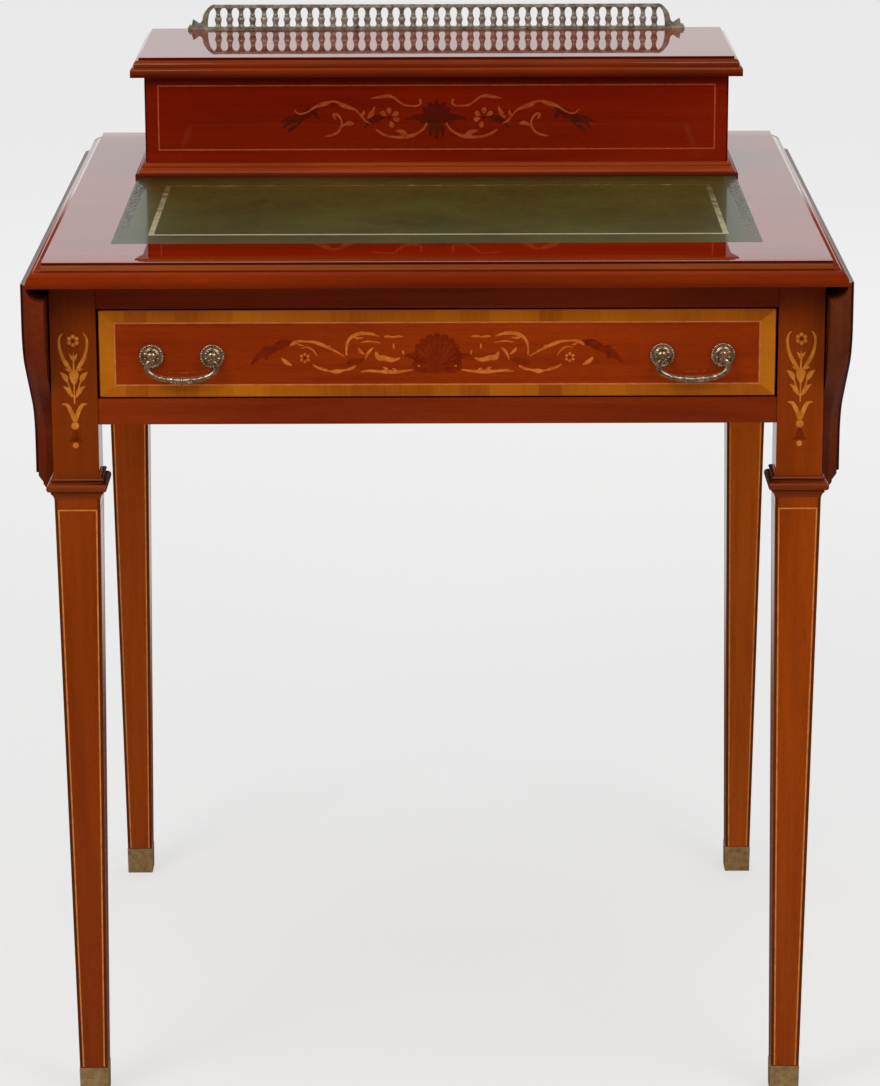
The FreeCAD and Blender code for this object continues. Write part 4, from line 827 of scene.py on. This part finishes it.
BOX_DARK_LEAVES = [
    ((109, 8.4), (129, -6.4), 8.4), ((117, 2), (143, -10), 7.4),
    ((126, -1.4), (145, -4.2), 5), ((128, -7), (138, -13.6), 4.4),
    ((47, 0.6), (67, -9.4), 6.4), ((8, -2.4), (28, -1.6), 5.4), ((112, 5.6), (109, -1), 4.6),
]
BOX_DAISY = (43.8, 0.0)
BOX_PETALS = (34, 88, 148, 194, 252)
PALM_FOOT, PALM_REACH, PALM_WIDE = (0.0, -2.0), 18.0, 6.0
PALM_LOBES, PALM_SPREAD, PALM_SHORTEN = 9, 96.0, 0.16
PALM_HEART = (0.0, 4.4, 6.4)
PALM_SIDE = ((1.2, -3.0), (5.4, -17.4), 4.6)
PALM_DROP = (PALM_FOOT, (0.0, -20.0), 5.6)

art_face = on_front(0.0, box_y, BOX_MID)
light, dark = Inlay(art_face, LIGHT_HIGH), Inlay(art_face, DARK_HIGH)
both_sides(light, dark, BOX_LIGHT, BOX_LIGHT_LEAVES, BOX_DARK_LEAVES, BOX_DAISY,
           radius=9.6, petals=BOX_PETALS, width=4.6, heart=1.7)
# The palmette: blunt lobes fanned about a foot, the middle one the longest, over three hanging leaves.
for k in range(PALM_LOBES):
    lean = 2 * k / (PALM_LOBES - 1) - 1
    angle = math.radians(90 + PALM_SPREAD * lean)
    length = PALM_REACH * (1 - PALM_SHORTEN * abs(lean))
    tip = (PALM_FOOT[0] + length * math.cos(angle), PALM_FOOT[1] + length * math.sin(angle))
    dark.leaf(PALM_FOOT, tip, PALM_WIDE, belly=0.72, end=0.42)
dark.disc(*PALM_HEART)
for flip in FLIPS:
    dark.leaf(*PALM_SIDE, bow=0.12, belly=0.5, end=0.4, flip=flip)
dark.leaf(*PALM_DROP, belly=0.5, end=0.4)
make("box_marquetry_light", light, box_boxwood)
make("box_marquetry_dark", dark, box_shade_wood)

# Legs: a boxwood line near each arris below the collar, and a spray on the block above it in front.
LEG_X, LEG_Y = 307.0, 285.5
LEG_TOE, LEG_RISE, LEG_NECK = 24.0, 15.0, 551.0
LEG_LINE_LOW, LEG_LINE_HIGH = 27.2, 541.0
LEG_LINE_IN = 3.2
EDGE_WIDE, EDGE_HIGH, EDGE_MARGIN = 2.3, 0.04, 0.3


def leg_half(z):
    return (LEG_TOE + LEG_RISE * z / LEG_NECK) / 2


def leg_place(x, y, a, b):
    """The tapered face of a leg that looks along (a, b): u along the face, v the height."""
    def place(u, v, h):
        out = leg_half(v) + h
        return x + a * out + abs(b) * u, y + b * out + abs(a) * u, v
    return place


# The collar's section, as distance out from the block and height above its foot.
COLLAR = [(-0.5, 0), (0.2, 0), (0.5, 1.6), (1.1, 3), (2, 4.3), (2.9, 5), (2.9, 5.9), (2.3, 6.3),
          (2.5, 6.7), (4.2, 6.9), (5.4, 7.8), (6.1, 9.1), (6.2, 10.3), (6, 11.7), (5.2, 13.1), (4, 14),
          (2.2, 14.5), (0.8, 14.8), (0.6, 15.4), (1.4, 15.8), (2.5, 16.4), (2.9, 17.3), (2.5, 18.2),
          (1.5, 18.8), (0.4, 19), (-0.5, 19)]
BLOCK_HALF = (LEG_TOE + LEG_RISE) / 2
block = Vector((BLOCK_HALF, BLOCK_HALF))
low_u = leg_half(LEG_LINE_LOW) - LEG_LINE_IN
high_u = leg_half(LEG_LINE_HIGH) - LEG_LINE_IN
cross_u = high_u + LINE_WIDE / 2
rim = EDGE_WIDE / 2 + EDGE_MARGIN
UP_LINE = [(low_u, LEG_LINE_LOW, LINE_WIDE), (high_u, LEG_LINE_HIGH, LINE_WIDE)]
CROSS_LINE = [(-cross_u, LEG_LINE_HIGH, LINE_WIDE), (cross_u, LEG_LINE_HIGH, LINE_WIDE)]
EDGE_LINE = [(leg_half(z) - rim, z, EDGE_WIDE) for z in (LEG_LINE_LOW, LEG_NECK)]
for side, sx in LEFT_RIGHT.items():
    for end, sy in (("front", -1), ("back", 1)):
        middle = Vector((sx * LEG_X, sy * LEG_Y))
        ring = Shape()
        lines, edges = Inlay(None, LINE_HIGH), Inlay(None, EDGE_HIGH)
        square_ring(ring, middle - block, middle + block, [(out, LEG_NECK + up) for out, up in COLLAR])
        for face in ((0, -1), (0, 1), (-1, 0), (1, 0)):
            lines.place = edges.place = leg_place(*middle, *face)
            for flip in FLIPS:
                lines.stroke(UP_LINE, flip)
                edges.stroke(EDGE_LINE, flip)
            lines.stroke(CROSS_LINE)
        make(f"collar_moulded_{end}_{side}", ring, collar_wood, stands_for=f"collar_{end}_{side}")
        make(f"leg_stringing_{end}_{side}", lines, leg_line_wood)
        make(f"leg_borders_{end}_{side}", edges, leg_edge_wood)

SPRAY_TOP = 706.6
SPRAY_NARROW = 0.92
SPRAY_STROKES = [
    [(9.5, -11.2, 0.8), (12.4, -15.2, 1.8), (12.5, -23, 2.2), (9.8, -32.3, 3), (6, -38.5, 3.4),
     (2.4, -43.4, 1.6)],
    [(5.8, -53.2, 0.8), (3.6, -60, 1), (0.5, -67, 0.8)],
    [(11.4, -72.4, 1), (7, -73.2, 2.8), (3.6, -78.5, 3.6), (1.2, -85, 3.2), (0.6, -87.4, 2.4)],
]
SPRAY_LEAVES = [
    ((3.4, -44.4), (8.6, -41.8), 1.9), ((1, -35), (4.2, -28.8), 2.4), ((6.2, -53.6), (13.2, -44.6), 4.4),
    ((2.2, -66.4), (10.4, -56.8), 4),
]
SPRAY_STEM = [(0, -43.8, 1.5), (0, -36, 1.2), (0, -28, 0.4)]
SPRAY_STALK = [(0, -54, 1.2), (0, -62, 1.3), (0, -72, 1.1)]
SPRAY_BELL = [(0, -95.2, 3), (0, -98.4, 5.4), (0, -102, 7.4), (0, -105.2, 12.6)]
SPRAY_BUD = ((0.0, -56.0), (0.0, -41.6), 8.0)
SPRAY_FLOWER = (0.0, -17.6)
SPRAY_BERRY, SPRAY_CLAPPER = (0.0, -91.2, 3.3), (0.0, -108.4, 2.5)
for side, sx in LEFT_RIGHT.items():
    face = on_front(sx * LEG_X, box_of(f"leg_front_{side}")[0].y, SPRAY_TOP)
    light, dark = Inlay(face, LIGHT_HIGH), Inlay(face, DARK_HIGH)
    for flip in FLIPS:
        for points in SPRAY_STROKES:
            light.stroke(points, flip * SPRAY_NARROW)
        for root, tip, wide in SPRAY_LEAVES:
            light.leaf(scaled(root, SPRAY_NARROW), scaled(tip, SPRAY_NARROW), wide, bow=0.12, flip=flip)
    flower(light, dark, *SPRAY_FLOWER, radius=5.2, angles=SIX_PETALS, width=3.5, heart=1.5)
    light.stroke(SPRAY_STEM)
    light.leaf(*SPRAY_BUD, belly=0.66)
    light.stroke(SPRAY_STALK)
    light.disc(*SPRAY_BERRY)
    dark.stroke(SPRAY_BELL)
    light.disc(*SPRAY_CLAPPER)
    make(f"leg_spray_light_{side}", light, leg_boxwood)
    make(f"leg_spray_dark_{side}", dark, leg_shade_wood)

# Writing leather: one worn gilt band, and a blind-tooled band along each end.
leather_low, leather_high = box_of("writing_leather")
hide_face = on_top(leather_high.z)
GILT_BOX = (-249.0, -208.0, 251.6, 31.0)
GILT_WIDE = 4.8
TOOL_HIGH, MARK_HIGH = 0.03, 0.05
tooling = Inlay(hide_face, TOOL_HIGH)
tooling.border(GILT_BOX, GILT_WIDE)
make("leather_gilt_border", tooling, gilt)

BLIND_WIDE = 12.0
BLIND_MARGIN = 0.6
BLIND_STEP = 8.4
BLIND_ROWS = (0.24, 0.5, 0.76)
PETAL_LONG, PETAL_WIDE = 2.0, 1.7
PETAL_LEANS = (math.radians(150), math.radians(30))
ROW_START, ROW_SHIFT = 0.3, 0.4
WEAR = 0.9
WORN_LONG, WORN_WIDE = (0.6, 1.2), (0.5, 1.3)
bands = Inlay(hide_face, TOOL_HIGH)
tool_low = leather_low.y + BLIND_MARGIN
tool_high = leather_high.y - BLIND_MARGIN
for side, edge_x, way in (("left", leather_low.x, 1), ("right", leather_high.x, -1)):
    marks = Inlay(hide_face, MARK_HIGH)
    near = edge_x + way * BLIND_MARGIN
    far = edge_x + way * BLIND_WIDE
    bands.prism(corners((near, tool_low, far, tool_high)))
    for k in range(int((tool_high - tool_low) / BLIND_STEP)):
        for i, row in enumerate(BLIND_ROWS):
            u = edge_x + way * BLIND_WIDE * row + rng.uniform(-WEAR, WEAR)
            v = tool_low + (k + ROW_START + ROW_SHIFT * (i % 2)) * BLIND_STEP + rng.uniform(-WEAR, WEAR)
            lean = PETAL_LEANS[(k + i) % 2]
            long = PETAL_LONG * rng.uniform(*WORN_LONG)
            du = long * math.cos(lean)
            dv = long * math.sin(lean)
            wide = PETAL_WIDE * rng.uniform(*WORN_WIDE)
            marks.leaf((u - du, v - dv), (u + du, v + dv), wide)
    make(f"leather_blind_marks_{side}", marks, blind_lines_painted_light[side])
make("leather_blind_bands", bands, blind_tooling)

# Drawer handles: stepped and beaded rosettes, ball-headed posts and swelling bails.
ROSETTE = [(10.2, 0), (10.2, 0.8), (10, 1.6), (9.4, 2), (8.8, 1.7), (8.2, 1.2), (7.4, 1), (6.6, 1.3),
           (6.2, 1.9), (5.6, 2.3), (5, 2), (4.6, 1.6), (4.2, 2.4), (3.4, 3.4), (2.2, 4.1), (0, 4.4)]
# Rows of beads on a rosette: how many, from which step, how far out, how proud, radius, flatness, rows.
BEADS = [(26, 0.0, 9.5, 1.6, 1.15, 0.9, 6), (8, 0.5, 5.6, 2.0, 1.2, 0.6, 5)]
POST = [(2, 0), (2, 3.6), (1.6, 4.4), (1.6, 5.2), (2, 5.8), (2.5, 7.2), (2.7, 9.2), (2.5, 10.8),
        (1.9, 12), (1.1, 12.8), (0.9, 13.6), (0.4, 14.4), (0, 14.6)]
HANDLE_X, HANDLE_Z = 215.5, 675.25
POST_APART = 25.7
BAIL_Y = -313.5
OUT = (0, -1, 0)
rosettes, posts = Shape(), Shape()
for sx in LEFT_RIGHT.values():
    for way in LEFT_RIGHT.values():
        foot = (sx * HANDLE_X + way * POST_APART, drawer_low.y, HANDLE_Z)
        lathe(rosettes, ROSETTE, foot, OUT, sides=40)
        for count, start, reach, proud, radius, flat, rows in BEADS:
            for c, s in around(count, start):
                bead = (foot[0] + reach * c, foot[1] - proud, foot[2] + reach * s)
                ball(rosettes, bead, radius, OUT, flat, sides=8, rows=rows)
        lathe(posts, POST, foot, OUT, sides=20)
make("handle_rosettes_cast", rosettes, brass, "drawer", "handle_rosettes")
make("handle_posts_turned", posts, brass, "drawer", "handle_posts")

BAIL_BOW = [(22.3, -0.6, 0.6), (23, -1.3, 1.6), (24.3, -2.2, 2.1), (26.2, -2.7, 2.1), (28.1, -3.6, 2.2),
            (29.3, -5.8, 2.3), (29.3, -8.6, 2.3), (27.8, -11.6, 2.35), (24.4, -14.4, 2.4),
            (19.4, -16.6, 2.4), (13, -18.1, 2.45), (6, -18.9, 2.5), (0, -19.2, 2.5)]
# The knot and rings on the bow, each how far from the middle, how much thicker and how long.
BAIL_RINGS = [(0, 1.5, 1.5), (3.4, 1, 0.9), (10.6, 0.8, 0.8), (18, 0.6, 0.8)]
BOW_FOOT, BOW_START = -18.8, -10
LEAF_AT, LEAF_REACH, LEAF_GROWTH = 7.0, 3.4, 0.55
CAST_LEAVES, CAST_OUT, CAST_SIZE = 5, 2.1, 1.15


def swelling(run):
    """How much thicker the bail is at a distance from its middle: a knot, rings and cast leaves."""
    grown = sum(amount * math.exp(-((run - spot) / reach) ** 2) for spot, amount, reach in BAIL_RINGS)
    return grown + LEAF_GROWTH * max(0.0, 1.0 - abs(run - LEAF_AT) / LEAF_REACH)


bow = flowing(BAIL_BOW, steps=14)
bow += [scaled(point, -1) for point in reversed(bow[:-1])]
for side, sx in LEFT_RIGHT.items():
    bail = Shape()
    tube(bail, [(sx * HANDLE_X + u, BAIL_Y, HANDLE_Z + v, r + (swelling(abs(u)) if v < BOW_START else 0.0))
                for u, v, r in bow], sides=16)
    for flip in FLIPS:
        for c, s in around(CAST_LEAVES):
            at = (sx * HANDLE_X + flip * LEAF_AT, BAIL_Y + CAST_OUT * c, HANDLE_Z + BOW_FOOT + CAST_OUT * s)
            ball(bail, at, CAST_SIZE, (flip, 0, 0.1), flat=2.6, sides=8)
    make(f"bail_cast_{side}", bail, brass, f"bail_{side}", f"bail_{side}")

# Gallery: turned balusters between the strip and a moulded rail with scrolled ends.
GALLERY_Y = 257.5
GALLERY_LOW, GALLERY_HIGH = 873.3, 892.9
BALUSTERS = 39
BALUSTER_REACH = 210.7
BALUSTER = [(3.9, 0), (3.9, 0.8), (3.3, 1.4), (2.8, 2.2), (2.5, 3.2), (2.7, 4.6), (3.2, 6), (3.6, 7.8),
            (3.3, 9.2), (2.7, 10.2), (2.2, 10.8), (2.6, 11.2), (2.6, 11.9), (2.2, 12.3), (2.1, 13.6),
            (2.2, 15.2), (2.6, 16.6), (3.2, 17.6), (4, 18.6), (4.3, 19.6)]
turned = Shape()
for k in range(BALUSTERS):
    x = BALUSTER_REACH * (2 * k / (BALUSTERS - 1) - 1)
    lathe(turned, BALUSTER, (x, GALLERY_Y, GALLERY_LOW), (0, 0, 1), sides=12)
make("gallery_balusters_turned", turned, gallery_brass, "lid", "gallery_balusters")


def gallery_bar(bar, section, ends, z):
    """A straight moulding along the gallery; the section is (distance back, height) pairs."""
    bar.skin([[(x, GALLERY_Y + back, z + up) for back, up in section] for x in ends])


STRIP_SECTION = [(-2.5, 0), (2.5, 0), (2.5, 1.3), (1.9, 1.8), (1.9, 2.6), (-1.9, 2.6), (-1.9, 1.8),
                 (-2.5, 1.3)]
strip_low, strip_high = box_of("gallery_base")
strip = Shape()
gallery_bar(strip, STRIP_SECTION, (strip_low.x, strip_high.x), strip_low.z)
make("gallery_base_moulded", strip, gallery_brass, "lid", "gallery_base")

RAIL_SECTION = [(-1.7, -0.5), (1.7, -0.5), (1.7, 0.5), (1.2, 1), (1.3, 1.7), (0.9, 2.3), (0.3, 2.6),
                (-0.3, 2.6), (-0.9, 2.3), (-1.3, 1.7), (-1.2, 1), (-1.7, 0.5)]
RAIL_END = 215.5
SCROLL = [(239.8, 0), (238.4, 0.9), (236.6, 2.2), (235.8, 5), (235.2, 8.2), (233.6, 7.4), (231.6, 6.2),
          (230.2, 5.2), (228.6, 4.4), (227.2, 5.4), (226, 7.4), (225.6, 9.8), (225, 12.4),
          (223.8, 14.6), (222.4, 16.6), (220, 19.4), (217.6, 21.2), (215.4, 22.2), (212, 22.2),
          (212, 19.2), (215.4, 19), (218.2, 16), (219.6, 12.3), (220.6, 7), (220.8, 0)]
SCROLL_HALF = 1.1
# The small balls on a scroll, each its place along the lid, its height and its radius.
SCROLL_BALLS = [(237.6, 1.6, 1.5), (226, 2, 1.8)]
rail = Inlay(on_front(0.0, GALLERY_Y, GALLERY_LOW), SCROLL_HALF)
gallery_bar(rail, RAIL_SECTION, (-RAIL_END, RAIL_END), GALLERY_HIGH)
for flip in FLIPS:
    rail.prism([scaled(point, flip) for point in SCROLL], low=-SCROLL_HALF)
    for x, up, radius in SCROLL_BALLS:
        ball(rail, (flip * x, GALLERY_Y, GALLERY_LOW + up), radius)
make("gallery_rail_moulded", rail, gallery_brass, "lid", "gallery_rail")

# Studio: a pale floor, a white surround and soft boxes.
FLOOR_REACH = 14.0
FLOOR_GREY = (0.8, 0.8, 0.8, 1)
FLOOR_NEAR, FLOOR_FAR = 0.82, 0.95
FLOOR_SEEN = 0.7
AMBIENT, BACKDROP = 0.62, 0.815


class Studio(Nodes):
    """The nodes of the floor or the world, which look different to the camera and in gloss."""

    def __init__(self, owner):
        super().__init__(owner)
        self.tree.nodes.clear()
        path = self.add("ShaderNodeLightPath").outputs
        self.camera = path["Is Camera Ray"]
        self.mirror = self.maths("MAXIMUM", path["Is Glossy Ray"], path["Is Transmission Ray"])

    def background(self, strength):
        return self.add("ShaderNodeBackground", {"Color": WHITE, "Strength": strength}).outputs[0]

    def mixed(self, share, first, second):
        return self.add("ShaderNodeMixShader", {0: share, 1: first, 2: second}).outputs[0]


floor_mesh = bpy.data.meshes.new("floor")
floor_plan = corners((-FLOOR_REACH, -FLOOR_REACH, FLOOR_REACH, FLOOR_REACH))
floor_mesh.from_pydata([(x, y, 0) for x, y in floor_plan], [], [(0, 1, 2, 3)])
floor = bpy.data.objects.new("floor", floor_mesh)
scene.collection.objects.link(floor)
paper = bpy.data.materials.new("paper")
studio = Studio(paper)
spot = studio.add("ShaderNodeTexCoord").outputs["Object"]
away = studio.add("ShaderNodeVectorMath", {0: spot}, operation="LENGTH").outputs["Value"]
shadowed = studio.eased(away, 0.6, 1.7, 0.07, 0.03)
behind = studio.eased(studio.split(spot)[Y], 0.7, 1.6, 0.0, 0.6)
seen = studio.eased(away, 0.8, 4.0, FLOOR_NEAR, FLOOR_FAR)
lit = {0: studio.camera, 2: studio.maths("ADD", shadowed, behind), 3: seen}
strength = studio.add("ShaderNodeMix", lit, data_type="FLOAT").outputs[0]
matt = studio.add("ShaderNodeBsdfDiffuse", {"Color": FLOOR_GREY}).outputs[0]
glow = studio.add("ShaderNodeEmission", {"Color": WHITE, "Strength": strength}).outputs[0]
share = studio.maths("MAXIMUM", studio.maths("MULTIPLY", studio.camera, FLOOR_SEEN), studio.mirror)
studio.add("ShaderNodeOutputMaterial", {"Surface": studio.mixed(share, matt, glow)})
floor_mesh.materials.append(paper)

world = bpy.data.worlds.new("studio")
scene.world = world
studio = Studio(world)
heading = studio.split(studio.add("ShaderNodeTexCoord").outputs["Generated"])
room = studio.eased(heading[Y], -0.75, 0.6, 0.1, 0.94)
ceiling = studio.eased(heading[Z], 0.32, 0.6, 1.0, 0.24)
gloss = studio.background(studio.maths("MULTIPLY", room, ceiling))
unseen = studio.mixed(studio.mirror, studio.background(AMBIENT), gloss)
surround = studio.mixed(studio.camera, unseen, studio.background(BACKDROP))
studio.add("ShaderNodeOutputWorld", {"Surface": surround})

# Soft boxes: name, place, what they aim at, width, height, watts, colour, and whether gloss shows them.
PLAIN, WARM, TINGED = (1, 1, 1), (1.0, 0.82, 0.6), (1.0, 0.94, 0.86)
SOFT_BOXES = [
    ("key", (-1.8, -2.1, 2.6), (0, 0, 0.6), 1.4, 1.4, 13, PLAIN, False),
    ("fill", (1.7, -2.1, 2.6), (0, 0, 0.5), 1.4, 1.4, 6, PLAIN, False),
    ("overhead", (0, 0.2, 3.2), (0, 0, 0.5), 2.4, 2.0, 26, PLAIN, False),
    ("rear", (0.6, 3.0, 2.0), (0, 0.2, 0.5), 2.4, 1.6, 16, PLAIN, False),
    ("key_glint", (-1.6, -1.9, 2.3), (0, 0, 0.6), 1.1, 1.1, 22, TINGED, True),
    ("fill_glint", (1.5, -1.9, 2.3), (0, 0, 0.5), 1.1, 1.1, 18, TINGED, True),
    ("front", (0, -2.9, 3.0), (0, 0, 0.7), 3.0, 1.2, 10, WARM, True),
]
for name, place, target, wide, tall, watts, colour, shown in SOFT_BOXES:
    lamp = bpy.data.lights.new(name, "AREA")
    lamp.shape = "RECTANGLE"
    lamp.size = wide
    lamp.size_y = tall
    lamp.energy = watts
    lamp.color = colour
    holder = bpy.data.objects.new(name, lamp)
    holder.location = place
    holder.rotation_mode = "QUATERNION"
    holder.rotation_quaternion = (Vector(target) - Vector(place)).to_track_quat("-Z", "Y")
    holder.visible_glossy = shown
    scene.collection.objects.link(holder)

# The camera stands where the photograph was taken from.
LENS, SENSOR, SHIFT_X = 131.34, 36.0, 0.002
EYE = (0.0, -3.568, 1.415)
LOOKS_DOWN, ROLL = math.radians(15.48), math.radians(-0.17)
camera_data = bpy.data.cameras.new("camera")
camera_data.lens = LENS
camera_data.sensor_width = SENSOR
camera_data.shift_x = SHIFT_X
camera = bpy.data.objects.new("camera", camera_data)
camera.location = EYE
camera.rotation_mode = "QUATERNION"
level = Euler((math.radians(90) - LOOKS_DOWN, 0, 0)).to_quaternion()
camera.rotation_quaternion = level @ Quaternion((0, 0, 1), ROLL)
scene.collection.objects.link(camera)
scene.camera = camera
scene.view_settings.view_transform = "Standard"
